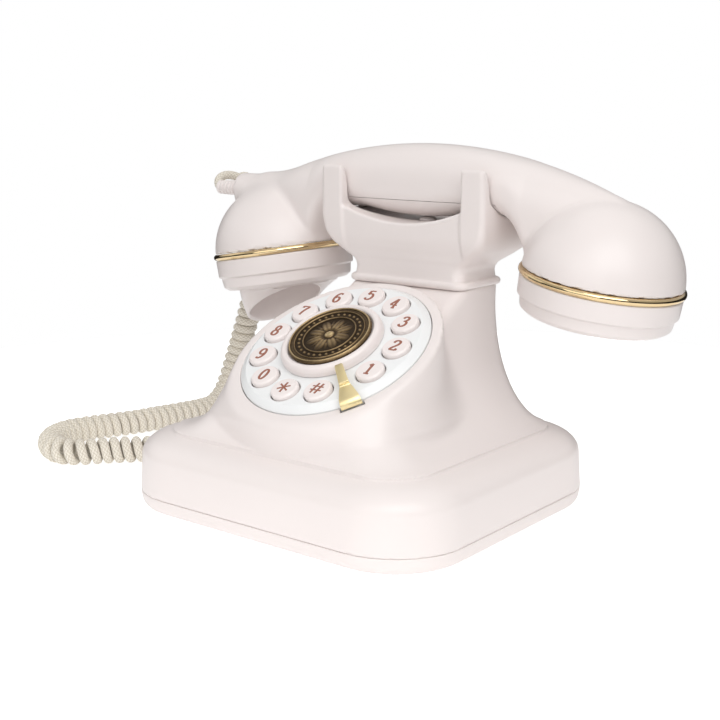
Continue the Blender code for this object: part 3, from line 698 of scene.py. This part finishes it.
def make_housing():
    low = (-82.0, -74.5, 6.0)
    high = (82.0, 74.5, 95.0)
    housing = net("phone_housing", housing_shell, low, high, NET_STEP)
    hollow = net("hollow", lambda x, y, z: np.maximum(housing_field(x, y, z) + WALL + 0.3, 3.0 - z),
                 (-80, -72, 0), (80, 72, 92), 3.0, 1)
    lip = 0.5
    recess = [(0, -3.6), (RECESS_RADIUS, -3.6), (RECESS_RADIUS, -lip)]
    recess += [(RECESS_RADIUS + lip * (1 - math.cos(a)), -lip + lip * math.sin(a))
               for a in (0.4, 0.8, 1.2, 1.5)]
    recess += [(RECESS_RADIUS + lip + 1.5, 1.0), (RECESS_RADIUS + lip + 1.5, 9), (0, 9)]
    cutters = [hollow, turned("recess", recess, DIAL, 160),
               drill("well", WELL_RADIUS, -14, 1, DIAL, 96),
               drill("neck_hole", 8, 84, 96, upright(0, HANDSET_Y), 40)]
    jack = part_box("handset_jack")
    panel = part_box("rear_panel")
    cutters += [window("jack_way", jack, 0.3, (-8, 0, 0)), window("panel_way", panel, 0.3, (0, 8, 0)),
                window("panel_inside", panel, 0.3, (0, -8, 0))]
    stop = DIAL @ Matrix.Rotation(STOP_ANGLE, 4, "Z")
    cutters.append(block("stop_slot", (41, -5.1, -3), (44.4, 5.1, 3), stop))
    combined(housing, cutters, "DIFFERENCE", 32.0)
    show(housing, "base", "shell", SHELL, "housing")


def make_rear_panel():
    """The plate in the rear wall, with windows for the line jack and the ringer switch."""
    panel = window("back_plate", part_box("rear_panel"), 0.0, (0, 0, 0))
    bevelled(panel, 0.35, 3)
    x, _, z = node_middle("line_jack")
    socket = block("socket_way", (x - 5.3, 60, z - 3.6), (x + 5.3, 80, z + 3.6))
    x, _, z = node_middle("ringer_switch")
    slot = block("slot_way", (x - 3.0, 60, z - 2.0), (x + 13.0, 80, z + 2.0))
    combined(panel, [socket, slot], "DIFFERENCE")
    bevelled(panel, 0.2, 2)
    show(panel, "base", "shell", SHELL, "rear_panel")


def window(name, box, gap, reach):
    """A cutter round a node's box, drawn out through the wall."""
    low = (np.array(box[0]) - MIDDLE) / MM - gap
    high = (np.array(box[1]) - MIDDLE) / MM + gap
    low = np.minimum(low, low + np.array(reach))
    high = np.maximum(high, high + np.array(reach))
    return block(name, low.tolist(), high.tolist())


def plinth_rings(stations):
    """Rounded rectangles of the plinth's outline at (inset, height) stations."""
    steps = 14
    rings = []
    for inset, height in stations:
        radius = BASE_RADIUS - inset
        ring = []
        for corner, (side, end) in enumerate(((1, 1), (-1, 1), (-1, -1), (1, -1))):
            for k in range(steps + 1):
                turn = math.pi / 2 * (corner + k / steps)
                ring.append((side * (BASE_HALF[0] - inset - radius) + radius * math.cos(turn),
                             end * (BASE_HALF[1] - inset - radius) + radius * math.sin(turn), height))
        rings.append(ring)
    return rings


def upright(x, y):
    return Matrix.Translation((x, y, 0.0))


def node_middle(name):
    """The middle of a node's box, in millimetres."""
    low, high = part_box(name)
    return ((np.array(low) + np.array(high)) / 2 - MIDDLE) / MM


FEET = ("foot_front_left", "foot_front_right", "foot_rear_left", "foot_rear_right")
CASE_SCREWS = ("case_screw_front_left", "case_screw_rear_left", "case_screw_front_right",
               "case_screw_rear_right")


def make_bottom():
    top = COVER_TOP + 0.13
    side = [(4.6, BASE_BOTTOM), (3.6, BASE_BOTTOM), (1.6, 1.9), (0.45, 3.8), (0.0, COVER_TOP - 0.15),
            (0.3, top), (6.0, top)]
    cover = lofted("base_cover", plinth_rings(softened(side, 1.4, 4)), None, 30.0)
    cutters = []
    for name in FEET:
        x, y, _ = node_middle(name)
        cutters.append(drill(name + "_pocket", 6.3, -1, 2.8, upright(x, y), 48))
        profile = softened([(0, 0), (5.3, 0), (6.0, 0.7), (6.0, 2.5), (0, 2.5)], 0.5)
        profile = [(0, 0.5), (2.6, 0.5), (3.0, 0.0)] + [p for p in profile[1:] if p[0] > 3.2]
        show(turned(name + "_pad", profile, upright(x, y), 48), "base", "rubber", RUBBER, name)
    for name in CASE_SCREWS:
        x, y, _ = node_middle(name)
        seat = [(0, -1), (3.8, -1), (3.4, 1.3), (3.4, 3.4), (1.6, 3.4), (1.6, 6.0), (0, 6.0)]
        cutters.append(turned(name + "_seat", seat, upright(x, y), 32))
    for ring, count in ((5.0, 8), (9.5, 16), (14.0, 22)):
        for k in range(count):
            turn = 2 * math.pi * k / count
            vent = upright(ring * math.cos(turn), 28 + ring * math.sin(turn))
            cutters.append(drill("vent", 0.9, -1, 3, vent, 12))
    combined(cover, cutters, "DIFFERENCE", 30.0)
    show(cover, "base", "shell", SHELL, "bottom_cover")


# ---- cradle

HEAD_STATIONS = smooth_curve(((90.0, 29.2, 15.8, 46.0), (94.0, 29.2, 15.8, 46.0), (97.5, 28.9, 15.6, 46.0),
                              (100.2, 30.0, 16.2, 46.4), (102.4, 32.9, 17.5, 46.9),
                              (104.8, 36.4, 18.9, 47.5), (108.0, 40.2, 20.6, 47.8),
                              (112.5, 42.6, 22.0, 48.0), (119.0, 43.5, 22.5, 48.0),
                              (128.0, 43.5, 22.5, 48.0), (146.0, 43.5, 22.5, 48.0)), 0.4)


def head_size(z, column):
    return np.interp(z, HEAD_STATIONS[:, 0], HEAD_STATIONS[:, column])


def head_field(x, y, z):
    half_x = head_size(z, 1)
    lean = (head_size(z + 0.4, 1) - head_size(z - 0.4, 1)) / 0.8
    between = np.clip((32.4 - np.abs(x)) / 2.2, 0, 1)
    between = between * between * (3 - 2 * between) * np.clip((z - 100) / 8, 0, 1)
    half_y = head_size(z, 2) - 0.9 * between
    corner = 4.8 - 2.4 * np.clip((z - 106) / 14, 0, 1)
    stem = box_field(x, y - head_size(z, 3), half_x, half_y, corner) / np.hypot(1, lean)
    stem = soft_max(stem, z - HEAD_TOP, 1.6)
    bead = np.hypot(box_field(x, y - 46.0, 29.7, 15.8, 4.2), z - 92.15) - 1.65
    head = soft_min(stem, bead, 0.5)
    dip = soft_max(SADDLE + 0.0063 * x * x - z, np.abs(x) - 31.6, 0.8)
    head = soft_max(head, -dip, 1.3)
    across = np.abs(y - HANDSET_Y)
    wall = across - 17.3 - 3.6 * np.clip((z - 124.0) / 18.0, 0, 1) ** 3
    trough = SADDLE + 3.6 * np.clip((np.abs(x) - 24.0) / 12.0, 0, 1) ** 2
    channel = soft_max(wall, (trough + 7.0 * (across / 17.3) ** 2 - z) * 0.8, 2.0)
    return np.maximum(soft_max(head, -channel, 1.0), HEAD_BOTTOM - z)


def make_cradle():
    head = net("cradle", head_field, (-46, 23, 88), (46, 73, 145), 0.75)
    centre = upright(0, HANDSET_Y)
    bore = softened([(0, 100), (4.4, 100), (4.4, 117.9), (5.2, 118.6), (5.2, 126), (0, 126)], 0.5)
    chamber = drill("chamber", 8, 86, 104.8, centre, 48)
    combined(head, [turned("bore", bore, centre, 48), chamber], "DIFFERENCE")
    show(head, "base", "shell", SHELL, "cradle_head")
    plunger = [(0, 87), (2.2, 87), (2.2, 99.8), (6.5, 100), (6.5, 101.3), (4.0, 102.2), (4.0, 118.2),
               (3.4, 119.2), (1.6, 119.4), (0, 119.4)]
    show(turned("plunger_cap", softened(plunger, 0.5), centre, 48), "hook", "hook_plastic", SHELL,
         "hook_plunger")


# ---- handset

def cup_axes(x, y, z, side):
    """Radius and height in a cup's own tilted frame; side is -1 for the mouth and 1 for the ear."""
    tilt = side * CUP_TILT
    dx = x - side * RING_X
    dz = z - RING_Z
    across = dx * math.cos(tilt) - dz * math.sin(tilt)
    return np.hypot(across, y - HANDSET_Y), dx * math.sin(tilt) + dz * math.cos(tilt)


def dome_field(x, y, z, side):
    radius, height = cup_axes(x, y, z, side)
    lifted = np.maximum(height, 0) / DOME_HEIGHT
    bulge = ((radius / DOME_RADIUS) ** DOME_POWER + lifted ** DOME_POWER) ** (1 / DOME_POWER)
    return soft_max((bulge - 1) * DOME_RADIUS, RING_HALF - height, 0.6)


def handle_field(x, y, z):
    distance = np.abs(x)
    top = 151.5 - 16.0 * (x / 84.0) ** 2
    belly = 119.8 + 0.0033 * x * x
    drop = 122.6 - 0.0026 * np.maximum(distance - 38, 0) ** 3
    bottom = np.maximum(np.where(distance < 30, np.minimum(belly, 122.6), drop), 104.0)
    half = np.maximum(17.0 - np.maximum(distance - 50, 0) ** 2 * 0.0055, 3.0)
    rise = (top - bottom) / 2
    shape = (np.abs((y - HANDSET_Y) / half) ** 2.4 + np.abs((z - (top + bottom) / 2) / rise) ** 2.4)
    return soft_max((shape ** (1 / 2.4) - 1) * np.minimum(half, rise), distance - 98.0, 6.0)


def handset_field(x, y, z):
    boss = np.hypot(y - BOSS_CENTRE[0], z - BOSS_CENTRE[1]) - BOSS_RADIUS
    boss = soft_max(boss, np.maximum(BOSS_END - x, x + 80.0), 1.6)
    domes = np.minimum(dome_field(x, y, z, -1), dome_field(x, y, z, 1))
    return soft_min(soft_min(handle_field(x, y, z), domes, 1.8), boss, 7.0)


def handset_solid(x, y, z):
    """The whole handset above its two ring planes."""
    left = RING_HALF - cup_axes(x, y, z, -1)[1]
    right = RING_HALF - cup_axes(x, y, z, 1)[1]
    ends = np.where(np.abs(x) > 50, np.where(x < 0, left, right), -1.0)
    return soft_max(handset_field(x, y, z), ends, 0.6)


def make_handset():
    shell = net("handset_body", handset_solid, (-122, 11, 90), (122, 85, 154), NET_STEP)
    strip = shell.copy()
    strip.data = shell.data.copy()
    strip.name = "handset_grip"
    bpy.context.scene.collection.objects.link(strip)
    combined(shell, [block("strip_way", (-STRIP_HALF - 0.2, 20, 90), (STRIP_HALF + 0.2, 80, PARTING))],
             "DIFFERENCE")
    combined(strip, [block("strip_keep", (-STRIP_HALF, 20, 90), (STRIP_HALF, 80, PARTING - 0.2))],
             "INTERSECT")
    seats = []
    for name in ("grip_screw_left", "grip_screw_right"):
        x, y, _ = node_middle(name)
        seats.append(turned(name + "_seat", [(0, 110), (3.2, 110), (3.0, 124.6), (0, 124.6)],
                            upright(x, y), 40))
    combined(strip, seats, "DIFFERENCE")
    show(shell, "handset", "shell", SHELL, "handset_shell")
    show(strip, "handset", "shell", SHELL, "grip_strip")


def cap_sides():
    return [(33.0, -RING_HALF), (33.4, -2.0), (33.1, -9.9), (31.9, -10.3), (31.2, -15.0), (28.9, -16.6)]


def make_ear():
    profile = [(0, -2.0)] + cap_sides() + [(25.5, -16.6), (22.0, -15.4), (12.0, -14.5), (0, -14.3)]
    cap = turned("ear_cover", softened(profile, 0.55), EAR_CUP, 144)
    holes = []
    for ring, count in ((0.0, 1), (4.5, 6), (9.0, 12)):
        for k in range(count):
            turn = 2 * math.pi * k / count
            place = EAR_CUP @ upright(ring * math.cos(turn), ring * math.sin(turn))
            holes.append(drill("hole", 0.95, -18, -13, place, 16))
    combined(cap, holes, "DIFFERENCE")
    show(cap, "handset", "shell", SHELL, "ear_cap")


def spout_ring(share, radius, depth):
    """A section of the mouth spout: round under the cap, an inclined oval at its rim."""
    slope_x = 0.167 * (1 - min(share / 0.75, 1)) + 0.59 * share
    slope_y = -0.176 * share
    ring = []
    for k in range(72):
        turn = 2 * math.pi * k / 72
        x = radius * (1 - 0.1 * share) * math.cos(turn)
        y = radius * (1 - 0.14 * share) * math.sin(turn)
        ring.append((-83.3 - 2.2 * share + x, HANDSET_Y - 0.5 * share + y,
                     81.8 - depth + slope_x * x + slope_y * y))
    return ring


def make_mouth():
    profile = [(0, -2.0)] + cap_sides() + [(0, -16.6)]
    cap = turned("mouth_cover", softened(profile, 0.55), MOUTH_CUP, 144)
    outside = smooth_curve(((0.0, 24.6, -3.0), (0.0, 24.0, 0.4), (0.35, 23.7, 3.0), (0.75, 22.9, 5.9),
                            (1.0, 21.4, 8.9)), 0.7)
    inside = smooth_curve(((1.0, 19.6, 8.9), (0.75, 20.4, 5.9), (0.35, 20.8, 3.0), (0.0, 20.4, 1.0)), 0.7)
    rim = [(1.02, 21.0, 9.45), (1.02, 20.5, 9.6), (1.02, 20.0, 9.45)]
    roof = [(0.0, 19.0, 0.45), (0.0, 12.0, 0.35)]
    rings = [spout_ring(*station) for station in [*outside, *rim, *inside, *roof]]
    combined(cap, [lofted("spout", rings)], "UNION")
    holes = []
    for k in range(5):
        turn = 2 * math.pi * k / 5
        place = MOUTH_CUP @ upright(4.0 * math.cos(turn), 4.0 * math.sin(turn))
        holes.append(drill("hole", 0.8, -22, -13, place, 16))
    combined(cap, holes, "DIFFERENCE")
    show(cap, "handset", "shell", SHELL, "mouth_cap")


def make_rings():
    section = [(32.0, 1.45), (33.2, 1.45)]
    section += [(33.2 + 1.05 * math.sin(math.radians(a)), 1.3 * math.cos(math.radians(a)))
                for a in range(15, 180, 10)]
    section += [(33.2, -1.45), (32.0, -1.45)]
    for name, node, cup in (("mouth_band", "mouth_ring", MOUTH_CUP), ("ear_band", "ear_ring", EAR_CUP)):
        show(turned(name, section, cup, 180, True), "handset", "gold", GOLDEN, node)


def make_relief():
    profile = [(0, 15.6), (3.0, 15.6)]
    for k in range(6):
        edge = 15.2 - 2.4 * k
        radius = 3.45 + 0.07 * k
        profile += [(radius, edge), (radius, edge - 1.5), (radius - 0.7, edge - 1.75),
                    (radius - 0.7, edge - 2.2)]
    profile += [(4.6, 0.3), (3.6, 0), (3.6, -4), (0, -4)]
    place = Matrix.Translation((BOSS_END - 0.3, *BOSS_CENTRE)) @ Matrix.Rotation(-math.pi / 2, 4, "Y")
    relief = turned("cord_boot", softened(profile, 0.2, 2), place, 48)
    return show(relief, "handset", "shell", SHELL, "cord_relief")


# ---- dial

def key_place(k):
    turn = KEY_FIRST + k * KEY_STEP
    return (KEY_PITCH_RADIUS * math.cos(turn), KEY_PITCH_RADIUS * math.sin(turn))


def make_plate():
    profile = [(0, PLATE_TOP), (38.3, PLATE_TOP), (PLATE_RADIUS, 0.2), (PLATE_RADIUS, -3), (0, -3)]
    plate = turned("number_plate", softened(profile, 0.25, 3), DIAL, 192)
    mouth = [(0, -6), (KEY_RADIUS + 0.4, -6), (KEY_RADIUS + 0.4, PLATE_TOP - 0.35),
             (KEY_RADIUS + 0.75, PLATE_TOP + 0.05), (KEY_RADIUS + 1.4, PLATE_TOP + 1), (0, 4)]
    mouth = softened(mouth, 0.15, 3)
    cutters = [turned("hole", mouth, DIAL @ upright(*key_place(k)), 64) for k in range(len(KEY_NAMES))]
    combined(plate, cutters, "DIFFERENCE")
    show(plate, "base", "dial_plate", PLATE, "dial_plate")


def make_hub():
    ring = [(0, 5.2), (18.3, 5.2), (18.5, 6.1), (19.1, 6.8), (19.9, 7.0), (20.8, 6.8), (21.6, 6.0),
            (22.1, 4.6), (22.2, 2.6), (0, 2.6)]
    show(turned("hub_ring", softened(ring, 0.4, 3), DIAL, 144), "base", "shell", HUB, "dial_hub")


def oval(x, y, half_x, half_y):
    return [(x + half_x * math.sin(math.radians(a)), y + half_y * math.cos(math.radians(a)))
            for a in range(0, 361, 15)]


SIX = ((0.20, 0.40), (0.05, 0.49), (-0.12, 0.38), (-0.23, 0.10), (-0.22, -0.20), (-0.12, -0.42),
       (0.02, -0.49), (0.18, -0.38), (0.22, -0.15), (0.12, 0.03), (-0.04, 0.07), (-0.18, -0.03))
GLYPHS = {
    "1": [((0.04, -0.46), (0.04, 0.48)), ((0.04, 0.47), (-0.16, 0.32)), ((-0.15, -0.46), (0.23, -0.46))],
    "2": [((-0.23, 0.24), (-0.16, 0.42), (0.02, 0.49), (0.19, 0.40), (0.22, 0.22), (0.12, 0.02),
           (-0.10, -0.22), (-0.24, -0.44)), ((-0.24, -0.44), (0.24, -0.44)), ((0.23, -0.45), (0.27, -0.28))],
    "3": [((-0.22, 0.30), (-0.12, 0.45), (0.04, 0.49), (0.19, 0.38), (0.19, 0.20), (0.06, 0.06),
           (-0.06, 0.04)),
          ((-0.06, 0.04), (0.10, 0.03), (0.24, -0.10), (0.22, -0.33), (0.04, -0.49), (-0.15, -0.45),
           (-0.25, -0.30))],
    "4": [((0.07, 0.48), (-0.26, -0.14)), ((-0.27, -0.16), (0.27, -0.16)), ((0.08, 0.49), (0.08, -0.46)),
          ((-0.05, -0.46), (0.21, -0.46))],
    "5": [((-0.16, 0.45), (0.22, 0.45)), ((-0.15, 0.47), (-0.19, 0.06)),
          ((-0.19, 0.06), (-0.03, 0.14), (0.15, 0.10), (0.25, -0.10), (0.20, -0.36), (0.0, -0.49),
           (-0.17, -0.45), (-0.25, -0.32))],
    "6": [SIX],
    "7": [((-0.25, 0.44), (0.26, 0.44)), ((-0.24, 0.46), (-0.26, 0.28)),
          ((0.25, 0.43), (0.08, 0.12), (-0.04, -0.20), (-0.08, -0.48))],
    "8": [oval(0.0, 0.25, 0.17, 0.23), oval(0.0, -0.24, 0.22, 0.25)],
    "9": [tuple((-x, -y) for x, y in SIX)],
    "0": [oval(0.0, 0.0, 0.22, 0.48)],
    "star": [((0.0, -0.48), (0.0, 0.48)), ((-0.41, -0.24), (0.41, 0.24)), ((-0.41, 0.24), (0.41, -0.24))],
    "hash": [((-0.24, -0.48), (-0.11, 0.48)), ((0.11, -0.48), (0.24, 0.48)), ((-0.43, 0.17), (0.43, 0.17)),
             ((-0.43, -0.17), (0.43, -0.17))],
}


def stroke_solid(points, lift, place, weight):
    """One pen stroke as a thin raised band; upright stretches are thicker than level ones."""
    line = smooth_curve([(x, y, 0.0) for x, y in points], 0.04)[:, :2] * STROKE
    if len(points) == 2:
        line = np.linspace(line[0], line[-1], 6)
    ahead = np.gradient(line, axis=0)
    ahead /= np.linalg.norm(ahead, axis=1)[:, None]
    half = weight * STROKE / 2 * (THIN + (THICK - THIN) * np.abs(ahead[:, 1]))
    side = np.stack([-ahead[:, 1], ahead[:, 0]], -1) * half[:, None]
    top = KEY_TOP - 0.004 * (line ** 2).sum(1) + lift
    rings = []
    for centre, offset, height in zip(line, side, top):
        left = centre - offset
        right = centre + offset
        rings.append([(*left, height - 0.25), (*right, height - 0.25), (*right, height), (*left, height)])
    return lofted("stroke", rings, place, 30.0)


def make_keys():
    profile = [(0, -5.2), (6.9, -5.2), (6.9, -4.0), (KEY_RADIUS, -4.0), (KEY_RADIUS, KEY_TOP - 0.75),
               (5.3, KEY_TOP - 0.12), (0, KEY_TOP)]
    profile = softened(profile, 0.22)
    for k, name in enumerate(KEY_NAMES):
        place = DIAL @ upright(*key_place(k))
        body = "key_%s_cap" % name
        show(turned("button_" + name, profile, place, 72), body, "keys", KEY, "key_" + name)
        weight = 0.8 if len(name) > 1 else 1.0
        strokes = [stroke_solid(points, 0.04 + 0.012 * n, place, weight)
                   for n, points in enumerate(GLYPHS[name])]
        show(joined("digit_" + name, strokes), body, "keys", INK)


def joined(name, objects):
    """Several helper objects put into one mesh."""
    bm = bmesh.new()
    for obj in objects:
        bm.from_mesh(obj.data)
        bpy.data.objects.remove(obj, do_unlink=True)
    mesh = bpy.data.meshes.new(name)
    bm.to_mesh(mesh)
    bm.free()
    smooth(mesh, 30.0)
    return placed(name, mesh)


def ridge(radius, centre, half):
    """A rounded ridge about a radius, 0 to 1."""
    return np.sqrt(np.clip(1 - ((radius - centre) / half) ** 2, 0, 1))


def medallion_relief(radius, turn):
    """The ornament's height over its ground: rings, a band of beads and a rosette."""
    relief = 0.8 * ridge(radius, 17.3, 0.4)
    relief = np.maximum(relief, 0.28 * ridge(radius, 16.2, 0.7))
    relief = np.maximum(relief, 0.6 * ridge(radius, 15.2, 0.3))
    relief = np.maximum(relief, 0.6 * ridge(radius, 11.4, 0.34))
    count = 30
    near = (turn * count / (2 * math.pi) + 0.5) % 1 - 0.5
    bead = np.hypot(near * 2 * math.pi / count * radius, radius - 13.3)
    relief = np.maximum(relief, 0.6 * np.sqrt(np.clip(1 - (bead / 0.72) ** 2, 0, 1)))
    petals = np.abs(np.cos(turn * 4))
    reach = 4.2 + 6.0 * petals ** 0.8
    share = np.clip((reach - radius) / 5.0, 0, 1)
    petal = np.sqrt(share) * (0.72 + 0.28 * petals) * np.clip((radius - 2.2) / 2.0, 0, 1)
    vein = 1 - 0.45 * np.exp(-(((turn * 4 / math.pi + 0.5) % 1 - 0.5) * radius / 0.9) ** 2)
    relief = np.maximum(relief, 0.85 * petal * vein)
    between = np.abs(np.sin(turn * 4))
    leaf = np.clip((9.6 * between ** 3 - radius) / 3.0, 0, 1)
    relief = np.maximum(relief, 0.45 * leaf * np.clip((radius - 4.5) / 1.5, 0, 1))
    return np.maximum(relief, 1.0 * np.sqrt(np.clip(1 - (radius / 2.3) ** 2, 0, 1)))


def make_medallion():
    steps = 300
    face_rings = 88
    rim = [17.9, 18.1, 18.15, 18.1, 17.8, 17.2]
    radii = np.concatenate([np.linspace(0.3, 17.6, face_rings), rim])
    edge = np.array([7.0, 6.8, 6.5, 6.1, 5.8, 5.5])
    turn = np.arange(steps) * 2 * math.pi / steps
    rings = []
    level = []
    for k, radius in enumerate(radii):
        relief = medallion_relief(np.full(steps, radius), turn)
        height = 7.0 + 0.9 * relief if k < face_rings else np.full(steps, edge[k - face_rings])
        rings.append(list(zip(radius * np.cos(turn), radius * np.sin(turn), height)))
        level += list(relief if k < face_rings else np.full(steps, 0.35))
    medal = lofted("hub_medallion", rings, DIAL, 60.0)
    layer = medal.data.attributes.new("relief", "FLOAT", "POINT")
    layer.data.foreach_set("value", np.array(level, np.float32))
    show(medal, "base", "medallion", BRONZE, "medallion")


def make_finger_stop():
    """The gold strip: a narrow tongue, a fold, and a wider tail that turns down at the rim."""
    stations = ((22.6, 6.2, 1.1), (22.9, 6.4, 1.45), (23.6, 6.45, 1.7), (28.0, 6.1, 1.8), (33.3, 5.75, 2.0),
                (33.7, 5.7, 2.05), (33.9, 4.9, 2.1), (34.8, 4.8, 2.2), (35.1, 4.3, 2.3), (36.6, 4.1, 2.8),
                (41.4, 3.3, 4.0), (42.6, 2.7, 4.2), (43.3, 1.9, 4.3), (43.6, 0.6, 4.3))
    middle = np.array([(radius, height) for radius, height, _ in stations])
    slope = np.gradient(middle, axis=0)
    slope /= np.linalg.norm(slope, axis=1)[:, None]
    up = np.stack([-slope[:, 1], slope[:, 0]], -1) * 0.7
    rings = []
    for centre, rise, (_, _, half) in zip(middle, up, stations):
        over = centre + rise
        rings.append([(centre[0], -half, centre[1]), (centre[0], half, centre[1]),
                      (over[0], half, over[1]), (over[0], -half, over[1])])
    stop = lofted("stop_blade", rings, DIAL @ Matrix.Rotation(STOP_ANGLE, 4, "Z"), 30.0)
    bevelled(stop, 0.12)
    show(stop, "base", "gold", BRASS, "finger_stop")


def light_floor():
    """A floor that glows a little, and more to the eye, so that it runs white into the distance."""
    tree = FLOOR.node_tree
    shader = tree.nodes["Principled BSDF"]
    shader.inputs["Emission Color"].default_value = (1.0, 1.0, 1.0, 1.0)
    seen = tree.nodes.new("ShaderNodeLightPath").outputs["Is Camera Ray"]
    glow = maths(tree, "ADD", maths(tree, "MULTIPLY", seen, FLOOR_SHOWN), FLOOR_GLOW)
    tree.links.new(glow, shader.inputs["Emission Strength"])


def make_stage():
    light_floor()
    edge = [(FLOOR_RADIUS * math.cos(math.radians(a)), FLOOR_RADIUS * math.sin(math.radians(a)), -0.02)
            for a in range(0, 360, 3)]
    floor = make_mesh("floor", edge, [range(len(edge))])
    floor.data.materials.append(FLOOR)
    make_world()
    bpy.context.scene.view_settings.view_transform = "Standard"
    softbox("key", (0.2, -1.15, 0.55), 1.1, KEY_POWER)
    softbox("side", (-1.0, -0.25, 0.5), 0.8, SIDE_POWER)
    softbox("top", (0.0, 0.25, 1.2), 1.2, TOP_POWER)
    softbox("right", (0.68, -0.56, 0.8), 0.9, RIGHT_POWER)


def make_world():
    """A white room: plain white to the eye, with a dim band at eye level for metal to reflect."""
    world = bpy.data.worlds.new("studio")
    world.use_nodes = True
    tree = world.node_tree
    room = tree.nodes["Background"]
    room.inputs["Strength"].default_value = ROOM_LIGHT
    where = tree.nodes.new("ShaderNodeTexCoord")
    parts = tree.nodes.new("ShaderNodeSeparateXYZ")
    tree.links.new(where.outputs["Generated"], parts.inputs["Vector"])
    level = maths(tree, "ADD", maths(tree, "MULTIPLY", parts.outputs["Z"], 0.5), 0.5)
    stops = ((0.34, (1.0, 1.0, 1.0)), (0.38, (0.03, 0.027, 0.024)), (0.60, (0.05, 0.047, 0.044)),
             (0.65, (1.0, 0.99, 0.98)))
    tree.links.new(ramp(tree, level, stops), room.inputs["Color"])
    backdrop = tree.nodes.new("ShaderNodeBackground")
    backdrop.inputs["Color"].default_value = (1.0, 1.0, 1.0, 1.0)
    light_path = tree.nodes.new("ShaderNodeLightPath")
    mix = tree.nodes.new("ShaderNodeMixShader")
    tree.links.new(light_path.outputs["Is Camera Ray"], mix.inputs["Fac"])
    tree.links.new(room.outputs["Background"], mix.inputs[1])
    tree.links.new(backdrop.outputs["Background"], mix.inputs[2])
    tree.links.new(mix.outputs["Shader"], tree.nodes["World Output"].inputs["Surface"])
    bpy.context.scene.world = world


def softbox(name, place, size, power):
    light = bpy.data.lights.new(name, "AREA")
    light.size = size
    light.energy = power
    lamp = placed(name, light)
    lamp.location = place
    lamp.rotation_euler = (Vector((0, 0, 0.06)) - Vector(place)).to_track_quat("-Z", "Y").to_euler()


def finish_inside():
    """Give the CAD nodes that stay their own procedural finishes."""
    finishes = {
        STEEL: CASE_SCREWS + ("grip_screw_left", "grip_screw_right", "ballast_plate", "handset_weight",
                              "hook_spring"),
        BLACK: ("ringer_speaker", "ringer_switch", "line_jack", "handset_jack", "hook_switch",
                "ear_capsule", "mouth_capsule"),
        BOARD: ("main_board", "keypad_board"),
        RUBBER: ("keypad_membrane",),
        CLEAR: ("cord_plug",),
    }
    for material, names in finishes.items():
        for name in names:
            obj = frame["nodes"][name]
            for slot in obj.material_slots:
                slot.material = material
            if not obj.material_slots:
                obj.data.materials.append(material)


make_camera()
boot = make_relief()
make_cord()
make_housing()
make_rear_panel()
make_bottom()
make_cradle()
make_handset()
make_ear()
make_mouth()
make_rings()
make_plate()
make_hub()
make_keys()
make_medallion()
make_finger_stop()
finish_inside()
make_stage()
